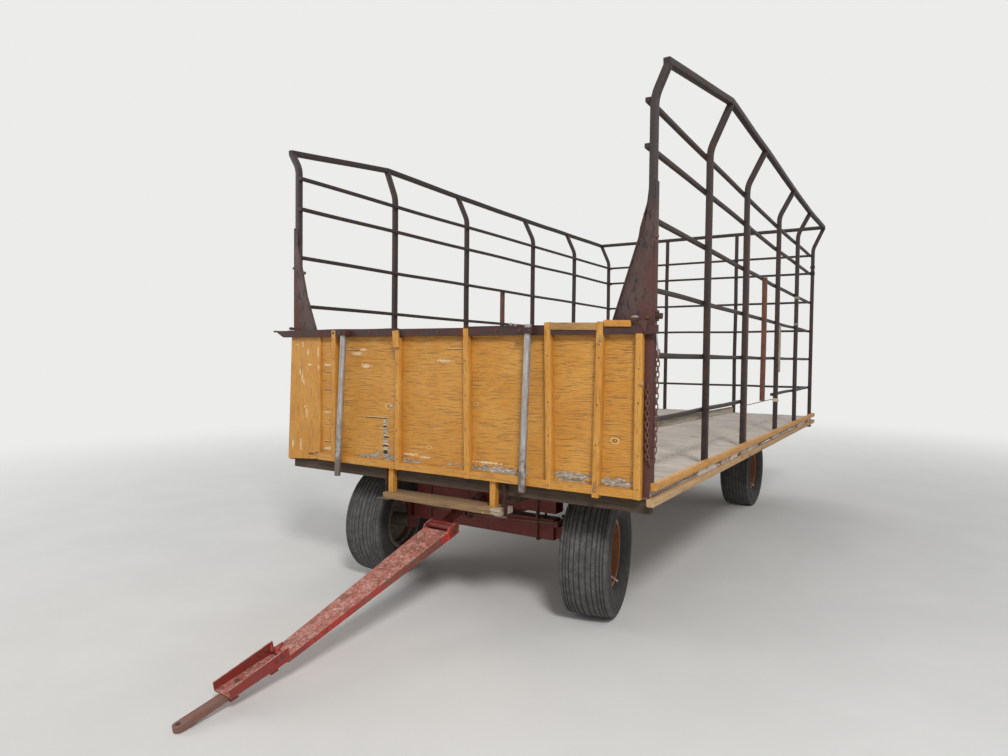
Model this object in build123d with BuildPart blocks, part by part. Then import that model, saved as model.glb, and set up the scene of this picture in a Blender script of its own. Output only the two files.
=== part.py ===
from build123d import *
import math
import os

os.makedirs("parts", exist_ok=True)

# Hay wagon with a basket rack, millimetres, +Z up, ground at Z = 0.
# The wagon's front faces -Y. A station is a distance back from the front edge of the deck planks.

# Deck and rack, overall
deck_length = 5570
deck_width = 2744
deck_top = 912
plank_thick = 38
plank_count = 29
plank_gap = 5
stick = 38
post = 38
rail = 25
bend_height = 2002
rail_heights = (348, 688, 1024, 1367, 1712, 1925)
plate = 6
rear_post_inset = 32

# Side posts: station of the post, then for the left and for the right side how far its tip leans out and
# the height of its tip above the deck
side_posts = [
    (post / 2, 67, 2144, 67, 2101),
    (1046, 123, 2264, 88, 2224),
    (2092, 125, 2243, 105, 2218),
    (3392, 118, 2217, 110, 2217),
    (4449, 111, 2214, 108, 2224),
    (deck_length - rear_post_inset, 108, 2232, 108, 2232),
]
# How far each left rail, from the lowest up, has risen at its front; it is level from this post back
left_rail_rise = (0, 8, 16, 38, 45, 62)
level_from = 3
rear_post_x = (-473, 427)
missing_rail = (2, 3)
tie_wire_height = 308
tie_wire_radius = 4
tie_wire_gap = 0.3
bay_post_height = 1367
bay_post_table = [
    # side, station, height of the lower end above the deck; the left one hangs from the rails
    (-1, 2757, 0),
    (1, 2806, 320),
]

# Front panel
ply_thick = 19
ply_low = 866
ply_high = 1757
panel_inset = 3
end_board_inner = -1038
end_board_thick = 12
end_board_foot = -1366
curb_setback = 43
steel_rail_deep = 38
steel_rail_tall = 46
outrigger = 126
batten_table = [
    # x at the top, x at the bottom, height of the lower end
    (-888, -888, 866),
    (-324, -324, 866),
    (205, 221, 866),
    (751, 774, 866),
    (1065, 1050, 850),
    (1280, 1280, 866),
]
foot_rail_tall = 45
pole_radius = 20
pole_gap = 0.3
pole_table = [
    # x at the top, top height, x at the bottom, bottom height
    (-773, 1728, -826, 779),
    (643, 1769, 614, 832),
]
clip_wide = 84
clip_tall = 34
gusset_high = 2352
gusset_base = 161
side_plate_high = 2489

# Under the deck
sill_x = 460
sill_wide = 90
sill_tall = 140
stringer_x = 1024
stringer_tall = 89
step_x = (-425, 469)
step_top = 711
step_front = -70
step_back = 70
hanger_wide = 38
hanger_deep = 38

# Running gear
front_axle_station = 491
wheelbase = 3879
wheel_centre_x = 810
wheel_offset = 215
beam_low = 430
beam_high = 560
beam_deep = 100
saddle_high = 600
saddle_half = 150
bolster_half = 560
box_wall = 8
reach_half = 38
reach_mid = 493
brace_tall = 60
brace_wide = 14

# Wheels: 15-inch rim, implement tyre; the front wheels stand turned by these angles
tyre_radius = 388
tyre_half = 150
tread_half = 134
flange_radius = 207.5
seat_radius = 190.5
well_radius = 172
rim_half = 101
rim_wall = 6
hub_radius = 48
spindle_radius = 20
running_gap = 0.05
casing = 16
left_turn = 11
right_turn = 6

# Steering and tongue, at rest turned a little towards -X and lying with its tip on the ground
swing_rest = -2.87
hound_pivot_ahead = 95
hound_length = 383
hound_half = 25
hound_tall = 44
hound_mid = 607
hound_bend = 192
hinge_height = 531
arm_out = 22
arm_ahead = 130
arm_low = 542
arm_thick = 16
tie_pin_radius = 8
tie_eye_radius = 15
tongue_slope = 17.9
tongue_length = 1250
tongue_rear_half = 100
tongue_front_half = 60
tongue_top = 2
tongue_rear_low = -50
tongue_front_low = -26
tongue_wall = 6
cheek_top = 22
cheek_back = 45
cheek_length = 60
kink_offset = -12
nose_length = 310
nose_half = 64
nose_low = -4
nose_rear_top = 62
nose_front_top = 38
tip_length = 232
tip_hidden = 290
tip_half_wide = 24
tip_half_thick = 14
tip_hole_radius = 11
tip_gap = 0.8
tip_ground_gap = 1


def turned(x, y, degrees):
    angle = math.radians(degrees)
    return x * math.cos(angle) - y * math.sin(angle), x * math.sin(angle) + y * math.cos(angle)


# The tongue slopes down to a slight kink; its nose is flatter, so that the tip bar's end lies on the ground
slope_cos = math.cos(math.radians(tongue_slope))
slope_sin = math.sin(math.radians(tongue_slope))
kink_ahead = tongue_length * slope_cos + kink_offset * slope_sin
kink_height = hinge_height - tongue_length * slope_sin + kink_offset * slope_cos
nose_reach = nose_length + tip_length
bar_offset = nose_low - tip_gap - tip_half_thick
bar_low = tip_half_thick - bar_offset
nose_span = math.hypot(nose_reach, bar_low)
nose_drop = kink_height - tip_ground_gap
nose_slope = math.degrees(math.asin(nose_drop / nose_span) - math.atan(bar_low / nose_reach))
nose_cos = math.cos(math.radians(nose_slope))
nose_sin = math.sin(math.radians(nose_slope))

# Ends of the whole wagon, so that the origin is in the middle of its length
hinge_x, hinge_back = turned(0, -hound_length, swing_rest)
hinge_station = front_axle_station - hound_pivot_ahead + hinge_back
swing_cos = math.cos(math.radians(swing_rest))
swing_sin = math.sin(math.radians(swing_rest))
tip_round = tip_half_wide * math.hypot(nose_cos * swing_cos, swing_sin)
tip_ahead = kink_ahead + (nose_reach - tip_half_wide) * nose_cos + (bar_offset + tip_half_thick) * nose_sin
front_end = hinge_station - tip_ahead * swing_cos - tip_round
middle = (front_end + deck_length) / 2


def sy(station):
    return station - middle


post_half = post / 2
rail_half = rail / 2
plank_low = deck_top - plank_thick
edge_half = deck_width / 2
curb_inner = edge_half - stick
panel_half = curb_inner - panel_inset
post_x = curb_inner - post_half
rail_x = post_x - post_half - rail_half
rear_axle_station = front_axle_station + wheelbase
king_x = wheel_centre_x - wheel_offset
hub_height = tyre_radius
axle_y = (sy(front_axle_station), sy(rear_axle_station))
beam_half = beam_deep / 2
bolster_top = plank_low - sill_tall

# Turned frames of the steering and the tongue
ex = Vector(*turned(1, 0, swing_rest), 0)
ey = Vector(*turned(0, 1, swing_rest), 0)
ez = Vector(0, 0, 1)
pivot = Vector(0, sy(front_axle_station - hound_pivot_ahead), 0)
hinge = Vector(hinge_x, sy(hinge_station), hinge_height)
along = ey * -slope_cos - ez * slope_sin
nose_along = ey * -nose_cos - ez * nose_sin
kink = hinge + along * tongue_length + along.cross(ex) * kink_offset


def tongue_plane(distance):
    return Plane(origin=hinge + along * distance, x_dir=ex, z_dir=along)


def nose_plane(distance):
    return Plane(origin=kink + nose_along * distance, x_dir=ex, z_dir=nose_along)


# Deck of separate cross planks
with BuildPart() as deck_planks:
    plank_wide = (deck_length + plank_gap) / plank_count - plank_gap
    for i in range(plank_count):
        y = sy(i * (plank_wide + plank_gap))
        with BuildSketch(Plane.XY.offset(plank_low)):
            with Locations((0, y + plank_wide / 2)):
                Rectangle(2 * curb_inner, plank_wide)
        extrude(amount=plank_thick)
deck_planks.part.label = "deck_planks"

# Curb on each side, outside the rack posts, and the nailer under it
curb_front = sy(-ply_thick - stick)
curb_back = sy(deck_length)
curb_mid = (curb_front + curb_back) / 2
curb_length = curb_back - curb_front
with BuildPart() as side_curbs:
    with BuildSketch(Plane.XY.offset(plank_low)):
        for side in (-1, 1):
            with Locations((side * (edge_half - stick / 2), curb_mid + curb_setback / 2)):
                Rectangle(stick, curb_length - curb_setback)
    extrude(amount=plank_thick + stick)
side_curbs.part.label = "side_curbs"

with BuildPart() as side_nailers:
    with BuildSketch(Plane.XY.offset(plank_low - stick)):
        for side, setback in ((-1, curb_setback), (1, 0)):
            with Locations((side * (edge_half - stick / 2), curb_mid + setback / 2)):
                Rectangle(stick, curb_length - setback)
    extrude(amount=stick)
side_nailers.part.label = "side_nailers"

# Timbers under the planks
with BuildPart() as main_sills:
    with BuildSketch(Plane.XY.offset(bolster_top)):
        with Locations((-sill_x, sy(deck_length / 2)), (sill_x, sy(deck_length / 2))):
            Rectangle(sill_wide, deck_length - 2 * stick)
    extrude(amount=sill_tall)
main_sills.part.label = "main_sills"

with BuildPart() as outer_stringers:
    with BuildSketch(Plane.XY.offset(plank_low - stringer_tall)):
        with Locations((-stringer_x, sy(deck_length / 2)), (stringer_x, sy(deck_length / 2))):
            Rectangle(stick, deck_length - 2 * stick)
    extrude(amount=stringer_tall)
outer_stringers.part.label = "outer_stringers"

with BuildPart() as end_sills:
    with BuildSketch(Plane.XY.offset(plank_low - stringer_tall)):
        with Locations((0, sy(stick / 2)), (0, sy(deck_length - stick / 2))):
            Rectangle(2 * curb_inner, stick)
    extrude(amount=stringer_tall)
end_sills.part.label = "end_sills"


# Rack of one side: top rail on the leaning tips, posts under it, thin rails inside the posts
def side_row(side, row):
    return row[0], *(row[1:3] if side > 0 else row[3:5])


def tip_point(side, row):
    station, lean, height = side_row(side, row)
    return Vector(side * (post_x + lean), sy(station), deck_top + height + post_half)


def top_rail(side, name):
    points = [tip_point(side, row) for row in side_posts]
    points[0] = points[0] + (points[0] - points[1]) * (post_half / abs(points[0].Y - points[1].Y))
    points[-1] = points[-1] + (points[-1] - points[-2]) * (post_half / abs(points[-1].Y - points[-2].Y))
    with BuildPart() as bar:
        for point in points:
            with BuildSketch(Plane.XZ.offset(-point.Y)):
                with Locations((point.X, point.Z)):
                    Rectangle(post, post)
        loft(ruled=True)
    bar.part.label = name
    return bar


def rack_posts(side, bar, name):
    with BuildPart() as posts:
        for row in side_posts:
            station, lean, height = side_row(side, row)
            slant = math.atan2(lean, height - bend_height)
            miter = post_half * math.tan(slant / 2)
            across = post_half / math.cos(slant)
            tip = height + post_half
            tip_lean = lean + post_half * math.tan(slant)
            plane = Plane(origin=(side * post_x, sy(station), deck_top), x_dir=(side, 0, 0), z_dir=(0, -side, 0))
            with BuildSketch(plane):
                with BuildLine():
                    Polyline(
                        (-post_half, 0),
                        (post_half, 0),
                        (post_half, bend_height - miter),
                        (tip_lean + across, tip),
                        (tip_lean - across, tip),
                        (-post_half, bend_height + miter),
                        close=True,
                    )
                make_face()
            extrude(amount=post_half, both=True)
        add(bar.part, mode=Mode.SUBTRACT)
    posts.part.label = name
    return posts


def rack_rails(side, name):
    front = side_posts[0][0] - post_half
    back = side_posts[-1][0] + post_half
    with BuildPart() as rails:
        for height, rise in zip(rail_heights, left_rail_rise):
            rise = rise if side > 0 else 0
            runs = ((front, back),)
            if side > 0 and height == rail_heights[0]:
                gap_front = side_posts[missing_rail[0]][0] + post_half
                gap_back = side_posts[missing_rail[1]][0] - post_half
                runs = ((front, gap_front), (gap_back, back))
            if rise:
                level = side_posts[level_from][0]
                for station, lift in ((front, rise), (level, 0), (back, 0)):
                    with BuildSketch(Plane.XZ.offset(-sy(station))):
                        with Locations((side * rail_x, deck_top + height + lift)):
                            Rectangle(rail, rail)
                loft(ruled=True)
                continue
            for start, stop in runs:
                with BuildSketch(Plane.XY.offset(deck_top + height - rail_half)):
                    with Locations((side * rail_x, sy((start + stop) / 2))):
                        Rectangle(rail, stop - start)
                extrude(amount=rail)
    rails.part.label = name
    return rails


left_top_rail = top_rail(1, "left_top_rail")
right_top_rail = top_rail(-1, "right_top_rail")
left_rack_posts = rack_posts(1, left_top_rail, "left_rack_posts")
right_rack_posts = rack_posts(-1, right_top_rail, "right_rack_posts")
left_rack_rails = rack_rails(1, "left_rack_rails")
right_rack_rails = rack_rails(-1, "right_rack_rails")

# Wire tied across the left bay where the lowest rail is missing, along the inner faces of the posts
wire_x = post_x - post_half - tie_wire_radius - tie_wire_gap
wire_front = sy(side_posts[missing_rail[0]][0])
wire_back = sy(side_posts[missing_rail[1]][0])
with BuildPart() as tie_wire:
    with BuildSketch(Plane.XZ.offset(-wire_front)):
        with Locations((wire_x, deck_top + tie_wire_height)):
            Circle(tie_wire_radius)
    extrude(amount=wire_front - wire_back)
tie_wire.part.label = "tie_wire"

# Rear rack between the rear corner posts
rear_station = side_posts[-1][0]
rear_top = deck_top + side_posts[-1][2]
rear_top_half = post_x + side_posts[-1][1] - post_half
with BuildPart() as rear_top_rail:
    with BuildSketch(Plane.XY.offset(rear_top)):
        with Locations((0, sy(rear_station))):
            Rectangle(2 * rear_top_half, post)
    extrude(amount=post)
    add(left_top_rail.part, mode=Mode.SUBTRACT)
    add(right_top_rail.part, mode=Mode.SUBTRACT)
    add(left_rack_posts.part, mode=Mode.SUBTRACT)
    add(right_rack_posts.part, mode=Mode.SUBTRACT)
rear_top_rail.part.label = "rear_top_rail"

with BuildPart() as rear_rack_posts:
    with BuildSketch(Plane.XY.offset(deck_top)):
        with Locations(*[(x, sy(rear_station)) for x in rear_post_x]):
            Rectangle(post, post)
    extrude(amount=rear_top - deck_top)
rear_rack_posts.part.label = "rear_rack_posts"

rear_rail_half = rail_x - rail_half
with BuildPart() as rear_rack_rails:
    for height in rail_heights:
        with BuildSketch(Plane.XY.offset(deck_top + height - rail_half)):
            with Locations((0, sy(rear_station - post_half - rail_half))):
                Rectangle(2 * rear_rail_half, rail)
        extrude(amount=rail)
rear_rack_rails.part.label = "rear_rack_rails"

# Short posts in the wide bays, outside the rails, from the deck to the fourth rail
with BuildPart() as bay_posts:
    for side, station, low in bay_post_table:
        with BuildSketch(Plane.XY.offset(deck_top + low)):
            with Locations((side * post_x, sy(station))):
                Rectangle(post, post)
        extrude(amount=bay_post_height + rail_half - low)
bay_posts.part.label = "bay_posts"

# Front panel: plywood, steel rail with its outrigger, battens, foot rails, end board
ply_face = sy(-ply_thick)
batten_face = sy(-ply_thick - stick)
with BuildPart() as panel_plywood:
    with BuildSketch(Plane.XY.offset(ply_low)):
        with Locations((0, sy(-ply_thick / 2))):
            Rectangle(2 * panel_half, ply_thick)
    extrude(amount=ply_high - ply_low)
panel_plywood.part.label = "panel_plywood"

steel_low = ply_high - steel_rail_tall
with BuildPart() as panel_steel_rail:
    with BuildSketch(Plane.XZ.offset(-ply_face)):
        with BuildLine():
            Polyline(
                (-panel_half, steel_low),
                (panel_half + stick, steel_low),
                (panel_half + stick, ply_high),
                (-panel_half - outrigger, ply_high),
                (-panel_half - outrigger, ply_high - 12),
                (-panel_half - outrigger / 2, steel_low),
                close=True,
            )
        make_face()
    extrude(amount=steel_rail_deep)
panel_steel_rail.part.label = "panel_steel_rail"

stick_half = stick / 2
with BuildPart() as panel_battens:
    for top_x, low_x, low in batten_table:
        with BuildSketch(Plane.XZ.offset(-ply_face)):
            with BuildLine():
                Polyline(
                    (low_x - stick_half, low),
                    (low_x + stick_half, low),
                    (top_x + stick_half, ply_high),
                    (top_x - stick_half, ply_high),
                    close=True,
                )
            make_face()
        extrude(amount=stick)
    add(panel_steel_rail.part, mode=Mode.SUBTRACT)
panel_battens.part.label = "panel_battens"

foot_ends = [end_board_inner] + [row[1] for row in batten_table]
with BuildPart() as panel_foot_rails:
    for start, stop in zip(foot_ends, foot_ends[1:]):
        with BuildSketch(Plane.XY.offset(ply_low)):
            with Locations(((start + stop) / 2, sy(-ply_thick - stick_half))):
                Rectangle(stop - start, stick)
        extrude(amount=foot_rail_tall)
    add(panel_battens.part, mode=Mode.SUBTRACT)
panel_foot_rails.part.label = "panel_foot_rails"

with BuildPart() as panel_end_board:
    with BuildSketch(Plane.XZ.offset(-ply_face)):
        with BuildLine():
            Polyline(
                (end_board_foot, ply_low - 22),
                (-1075, ply_low - 2),
                (-1062, ply_low + 14),
                (-1102, ply_low + 18),
                (-1160, ply_low + 24),
                (-1158, ply_low + 34),
                (-1105, ply_low + 35),
                (-1070, ply_low + 48),
                (end_board_inner - 2, ply_low + 40),
                (end_board_inner - 2, steel_low),
                (-panel_half, steel_low),
                close=True,
            )
        make_face()
    extrude(amount=end_board_thick)
panel_end_board.part.label = "panel_end_board"

# Two steel poles in front of the panel, each held by a clip on the steel rail
steel_face = sy(-ply_thick - steel_rail_deep)
pole_y = steel_face - pole_gap - pole_radius


def pole_plane(row):
    top_x, top, low_x, low = row
    foot = Vector(low_x, pole_y, low)
    return Plane(origin=foot, x_dir=(0, 1, 0), z_dir=Vector(top_x, pole_y, top) - foot)


with BuildPart() as panel_poles:
    for row in pole_table:
        with BuildSketch(pole_plane(row)):
            Circle(pole_radius)
        extrude(amount=math.hypot(row[0] - row[2], row[1] - row[3]))
panel_poles.part.label = "panel_poles"

clip_mid = (steel_low + ply_high) / 2
with BuildPart() as pole_clips:
    for row in pole_table:
        share = (clip_mid - row[3]) / (row[1] - row[3])
        x = row[2] + (row[0] - row[2]) * share
        with BuildSketch(Plane.XY.offset(clip_mid - clip_tall / 2)):
            with Locations((x, steel_face - (2 * pole_radius + plate) / 2)):
                Rectangle(clip_wide, 2 * pole_radius + plate)
        extrude(amount=clip_tall)
    for row in pole_table:
        with BuildSketch(pole_plane(row)):
            Circle(pole_radius + pole_gap)
            with Locations((pole_radius, 0)):
                Rectangle(2 * pole_radius, 2 * (pole_radius + pole_gap))
        extrude(amount=math.hypot(row[0] - row[2], row[1] - row[3]), mode=Mode.SUBTRACT)
pole_clips.part.label = "pole_clips"

# Corner plates: a tall triangle in the front plane and a strip on the outer face of each corner post
gusset_inner = post_x - post_half
gusset_outer = post_x + post_half
with BuildPart() as corner_gussets:
    for side in (-1, 1):
        with BuildSketch(Plane.XZ.offset(-sy(0))):
            with BuildLine():
                Polyline(
                    (side * gusset_outer, ply_high),
                    (side * gusset_outer, gusset_high),
                    (side * gusset_inner, gusset_high),
                    (side * (gusset_inner - gusset_base), ply_high),
                    close=True,
                )
            make_face()
        extrude(amount=plate)
        with BuildSketch(Plane.XY.offset(ply_high)):
            with Locations((side * (gusset_outer + plate / 2), sy(post_half - plate / 2))):
                Rectangle(plate, post + plate)
        extrude(amount=side_plate_high - ply_high)
corner_gussets.part.label = "corner_gussets"

# Step hung under the front sill
step_mid = (step_x[0] + step_x[1]) / 2
step_wide = step_x[1] - step_x[0]
with BuildPart() as step_board:
    with BuildSketch(Plane.XY.offset(step_top - stick)):
        with Locations((step_mid, sy((step_front + step_back) / 2))):
            Rectangle(step_wide, step_back - step_front)
    extrude(amount=stick)
step_board.part.label = "step_board"

with BuildPart() as step_hangers:
    with BuildSketch(Plane.XY.offset(step_top)):
        with Locations(*[(x, sy(-hanger_deep / 2)) for x in (step_x[0] + stick, step_x[1] - 2 * stick)]):
            Rectangle(hanger_wide, hanger_deep)
    extrude(amount=ply_low - 1 - step_top)
step_hangers.part.label = "step_hangers"

with BuildPart() as step_straps:
    for end, side in ((step_x[0], -1), (step_x[1], 1)):
        with BuildSketch(Plane.XZ.offset(-sy(-stick))):
            with BuildLine():
                Polyline(
                    (end, step_top - stick),
                    (end - side * stick, step_top - stick),
                    (end - side * stick, step_top - stick - plate),
                    (end + side * plate, step_top - stick - plate),
                    (end + side * plate, ply_low - 1),
                    (end, ply_low - 1),
                    close=True,
                )
            make_face()
        extrude(amount=-stick)
step_straps.part.label = "step_straps"


# Axle beams, saddles and bolsters
def box_beam(y, low, high, half_length, name):
    with BuildPart() as beam:
        with BuildSketch(Plane.YZ.offset(-half_length)):
            with Locations((y, (low + high) / 2)):
                Rectangle(beam_deep, high - low)
                Rectangle(beam_deep - 2 * box_wall, high - low - 2 * box_wall, mode=Mode.SUBTRACT)
        extrude(amount=2 * half_length)
    beam.part.label = name
    return beam


neck_start = king_x - 50
boss_low = beam_low + 10
boss_high = arm_low - 2
front_beam = box_beam(axle_y[0], beam_low, beam_high, neck_start - box_wall, "front_beam")
with BuildPart() as front_axle:
    add(front_beam.part)
    for side in (-1, 1):
        with BuildSketch(Plane.YZ.offset(side * (neck_start - box_wall))):
            with Locations((axle_y[0], (beam_low + beam_high) / 2)):
                Rectangle(beam_deep, beam_high - beam_low)
        extrude(amount=side * box_wall)
        with BuildSketch(Plane.XY.offset(boss_low)):
            with Locations((side * (neck_start + king_x) / 2, axle_y[0])):
                Rectangle(king_x - neck_start, 56)
            with Locations((side * king_x, axle_y[0])):
                Circle(30)
        extrude(amount=boss_high - boss_low)
        with BuildSketch(Plane.XY.offset(boss_low)):
            with Locations((side * king_x, axle_y[0])):
                Circle(15 + running_gap)
        extrude(amount=boss_high - boss_low, mode=Mode.SUBTRACT)
front_axle.part.label = "front_axle"

spindle_start = 35
spindle_plate = 18
hub_start = 62
hub_end = wheel_offset + 43
spindle_end = wheel_offset + 30
rear_beam = box_beam(axle_y[1], beam_low, beam_high, king_x + spindle_start, "rear_beam")
with BuildPart() as rear_axle:
    add(rear_beam.part)
    for side in (-1, 1):
        with BuildSketch(Plane.YZ.offset(side * (king_x + spindle_start))):
            with Locations((axle_y[1], (hub_height - 50 + beam_high) / 2)):
                Rectangle(90, beam_high - hub_height + 50)
        extrude(amount=side * spindle_plate)
        with BuildSketch(Plane.YZ.offset(side * (king_x + spindle_start))):
            with Locations((axle_y[1], hub_height)):
                Circle(spindle_radius)
        extrude(amount=side * (spindle_end - spindle_start))
rear_axle.part.label = "rear_axle"

front_bolster = box_beam(axle_y[0], saddle_high, bolster_top, bolster_half, "front_bolster")
rear_bolster = box_beam(axle_y[1], saddle_high, bolster_top, bolster_half, "rear_bolster")

with BuildPart() as axle_saddles:
    with BuildSketch(Plane.XY.offset(beam_high)):
        with Locations((0, axle_y[0]), (0, axle_y[1])):
            Rectangle(2 * saddle_half, beam_deep)
    extrude(amount=saddle_high - beam_high)
axle_saddles.part.label = "axle_saddles"

# Reach pole between the axles, and its braces
reach_front = axle_y[0] + beam_half
reach_back = axle_y[1] - beam_half
with BuildPart() as reach_pole:
    with BuildSketch(Plane.XZ.offset(-reach_front)):
        with Locations((0, reach_mid)):
            Rectangle(2 * reach_half, 2 * reach_half)
            Rectangle(2 * (reach_half - plate), 2 * (reach_half - plate), mode=Mode.SUBTRACT)
    extrude(amount=-(reach_back - reach_front))
reach_pole.part.label = "reach_pole"

brace_table = [
    # y at the axle, x at the axle, y at the reach pole
    (reach_front, 380, reach_front + 580),
    (reach_back, 420, reach_back - 1020),
]
with BuildPart() as reach_braces:
    for axle_end, brace_x, pole_end in brace_table:
        run = pole_end - axle_end
        wide_x = brace_wide * math.hypot(run, brace_x - reach_half) / abs(run)
        wide_y = wide_x * run / (brace_x - reach_half)
        for side in (-1, 1):
            with BuildSketch(Plane.XY.offset(reach_mid - brace_tall / 2)):
                with BuildLine():
                    Polyline(
                        (side * brace_x, axle_end),
                        (side * (brace_x + wide_x), axle_end),
                        (side * reach_half, pole_end + wide_y),
                        (side * reach_half, pole_end),
                        close=True,
                    )
                make_face()
            extrude(amount=brace_tall)
reach_braces.part.label = "reach_braces"

# Lugs that carry the steering hound, and its king bolt
lug_thick = 13
eye_gap = 2
hound_low = hound_mid - hound_tall / 2
hound_high = hound_mid + hound_tall / 2
lug_length = hound_pivot_ahead - beam_half + 40
with BuildPart() as hound_lugs:
    for low in (hound_low - eye_gap - lug_thick, hound_high + eye_gap):
        with BuildSketch(Plane.XY.offset(low)):
            with Locations((0, axle_y[0] - beam_half - lug_length / 2)):
                Rectangle(80, lug_length)
            with Locations((pivot.X, pivot.Y)):
                Circle(15 + running_gap, mode=Mode.SUBTRACT)
        extrude(amount=lug_thick)
hound_lugs.part.label = "hound_lugs"

with BuildPart() as king_bolt:
    with BuildSketch(Plane.XY.offset(hound_low - eye_gap - lug_thick - 12)):
        with Locations((pivot.X, pivot.Y)):
            Circle(15)
    extrude(amount=hound_tall + 2 * (eye_gap + lug_thick) + 12)
    with BuildSketch(Plane.XY.offset(hound_high + eye_gap + lug_thick)):
        with Locations((pivot.X, pivot.Y)):
            Circle(24)
    extrude(amount=14)
king_bolt.part.label = "king_bolt"

# Steering hound: level to its bend, then down to the hinge tube that carries the tongue
hound_side = Plane(origin=pivot, x_dir=ey, z_dir=ex)
hound_top = Plane(origin=pivot, x_dir=ex, z_dir=ez)
half_tall = hound_tall / 2
bend_at = -hound_bend
hinge_tube_radius = 20
hinge_tube_half = tongue_rear_half - tongue_wall - 5
hinge_pin_radius = 12.5
with BuildPart() as steering_hound:
    with BuildSketch(hound_side):
        with BuildLine():
            Polyline(
                (0, hound_low),
                (bend_at, hound_low),
                (-hound_length, hinge_height - 16),
                (-hound_length, hinge_height + 16),
                (bend_at, hound_high),
                (0, hound_high),
                close=True,
            )
        make_face()
    extrude(amount=hound_half, both=True)
    with BuildSketch(hound_top.offset(hound_low)):
        Circle(40)
    extrude(amount=hound_tall)
    with BuildSketch(Plane(origin=hinge, x_dir=ey, z_dir=ex)):
        Circle(hinge_tube_radius)
    extrude(amount=hinge_tube_half, both=True)
    with BuildSketch(hound_top.offset(arm_low)):
        with Locations((0, -arm_ahead)):
            Rectangle(2 * arm_out + 40, 44)
    extrude(amount=arm_thick)
    with BuildSketch(hound_top.offset(arm_low + arm_thick)):
        with Locations((0, -arm_ahead)):
            Rectangle(2 * (arm_out - tie_eye_radius) - 4, 44)
    extrude(amount=hound_low - arm_low - arm_thick)
    with BuildSketch(hound_top.offset(arm_low + arm_thick)):
        with Locations((-arm_out, -arm_ahead), (arm_out, -arm_ahead)):
            Circle(tie_pin_radius)
    extrude(amount=22)
    with BuildSketch(hound_top.offset(hound_low)):
        Circle(15 + running_gap)
    extrude(amount=hound_tall, mode=Mode.SUBTRACT)
    with BuildSketch(Plane(origin=hinge, x_dir=ey, z_dir=ex)):
        Circle(hinge_pin_radius + running_gap)
    extrude(amount=hinge_tube_half, both=True, mode=Mode.SUBTRACT)
steering_hound.part.label = "steering_hound"


# Knuckles: two ears on a king pin, an outer plate, a spindle and a steering arm
def knuckle(side, turn, name):
    king = Vector(side * king_x, axle_y[0], 0)
    out = Vector(*turned(side, 0, turn), 0)
    ahead = ez.cross(out)
    flat = Plane(origin=king, x_dir=out, z_dir=ez)
    facing = Plane(origin=king + out * spindle_start, x_dir=ahead, z_dir=out)
    arm_end = ex * (side * arm_out) - ey * arm_ahead
    arm_plane = Plane(origin=king, x_dir=arm_end, z_dir=ez)
    ear_low = boss_low - 2 - arm_thick
    with BuildPart() as part:
        for low in (ear_low, arm_low):
            with BuildSketch(flat.offset(low)):
                Circle(32)
                with Locations((spindle_start / 2 + 9, 0)):
                    Rectangle(spindle_start + 18, 64)
            extrude(amount=arm_thick)
        with BuildSketch(facing):
            with Locations((0, (hub_height - 50 + arm_low + arm_thick) / 2)):
                Rectangle(90, arm_low + arm_thick - hub_height + 50)
        extrude(amount=spindle_plate)
        with BuildSketch(facing):
            with Locations((0, hub_height)):
                Circle(spindle_radius)
        extrude(amount=spindle_end - spindle_start)
        with BuildSketch(arm_plane.offset(arm_low)):
            with Locations((arm_end.length / 2, 0)):
                SlotCenterToCenter(arm_end.length, 36)
        extrude(amount=arm_thick)
        with BuildSketch(arm_plane.offset(arm_low + arm_thick)):
            with Locations((arm_end.length, 0)):
                Circle(tie_pin_radius)
        extrude(amount=22)
        with BuildSketch(flat.offset(ear_low - 10)):
            Circle(15)
        extrude(amount=arm_low + arm_thick + 20 - ear_low)
    part.part.label = name
    return part


left_knuckle = knuckle(1, left_turn, "left_knuckle")
right_knuckle = knuckle(-1, right_turn, "right_knuckle")


# Tie rods: an eye on the hound's pin, an eye on the knuckle arm's pin, a round bar between them
tie_low = arm_low + arm_thick + 0.5
tie_open_gap = 1


def tie_rod(side, name):
    near = pivot + ex * (side * arm_out) - ey * arm_ahead
    far = Vector(side * king_x, axle_y[0], 0) + ex * (side * arm_out) - ey * arm_ahead
    span = far - near
    flat = Plane(origin=near, x_dir=span, z_dir=ez)
    with BuildPart() as part:
        with BuildSketch(flat.offset(tie_low)):
            with Locations((0, 0), (span.length, 0)):
                Circle(tie_eye_radius)
        extrude(amount=16)
        with BuildSketch(Plane(origin=near + ez * (tie_low + 8) + span.normalized() * 12, z_dir=span)):
            Circle(8)
        extrude(amount=span.length - 24)
        with BuildSketch(flat.offset(tie_low)):
            Circle(tie_pin_radius + running_gap)
            with Locations((span.length, 0)):
                Circle(tie_pin_radius + tie_open_gap)
        extrude(amount=16, mode=Mode.SUBTRACT)
    part.part.label = name
    return part


left_tie_rod = tie_rod(1, "left_tie_rod")
right_tie_rod = tie_rod(-1, "right_tie_rod")

# Tongue: a tapered channel, open below, with cheeks on the hinge pin and an open box at its front
top_start = 45
tongue_ends = [
    # distance from the hinge, half width, lower edge
    (0, tongue_rear_half, tongue_rear_low),
    (tongue_length, tongue_front_half, tongue_front_low),
]
nose_ends = [
    # distance from the kink, upper edge
    (-2 * tongue_wall, nose_rear_top),
    (nose_length, nose_front_top),
]
with BuildPart() as nose_box:
    for distance, high in nose_ends:
        with BuildSketch(nose_plane(distance)):
            with Locations((0, (nose_low + high) / 2)):
                Rectangle(2 * nose_half, high - nose_low)
    loft()
    for distance, high in nose_ends:
        with BuildSketch(nose_plane(distance)):
            with Locations((0, (nose_low + high) / 2 + tongue_wall)):
                Rectangle(2 * (nose_half - tongue_wall), high - nose_low)
    loft(mode=Mode.SUBTRACT)

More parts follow.
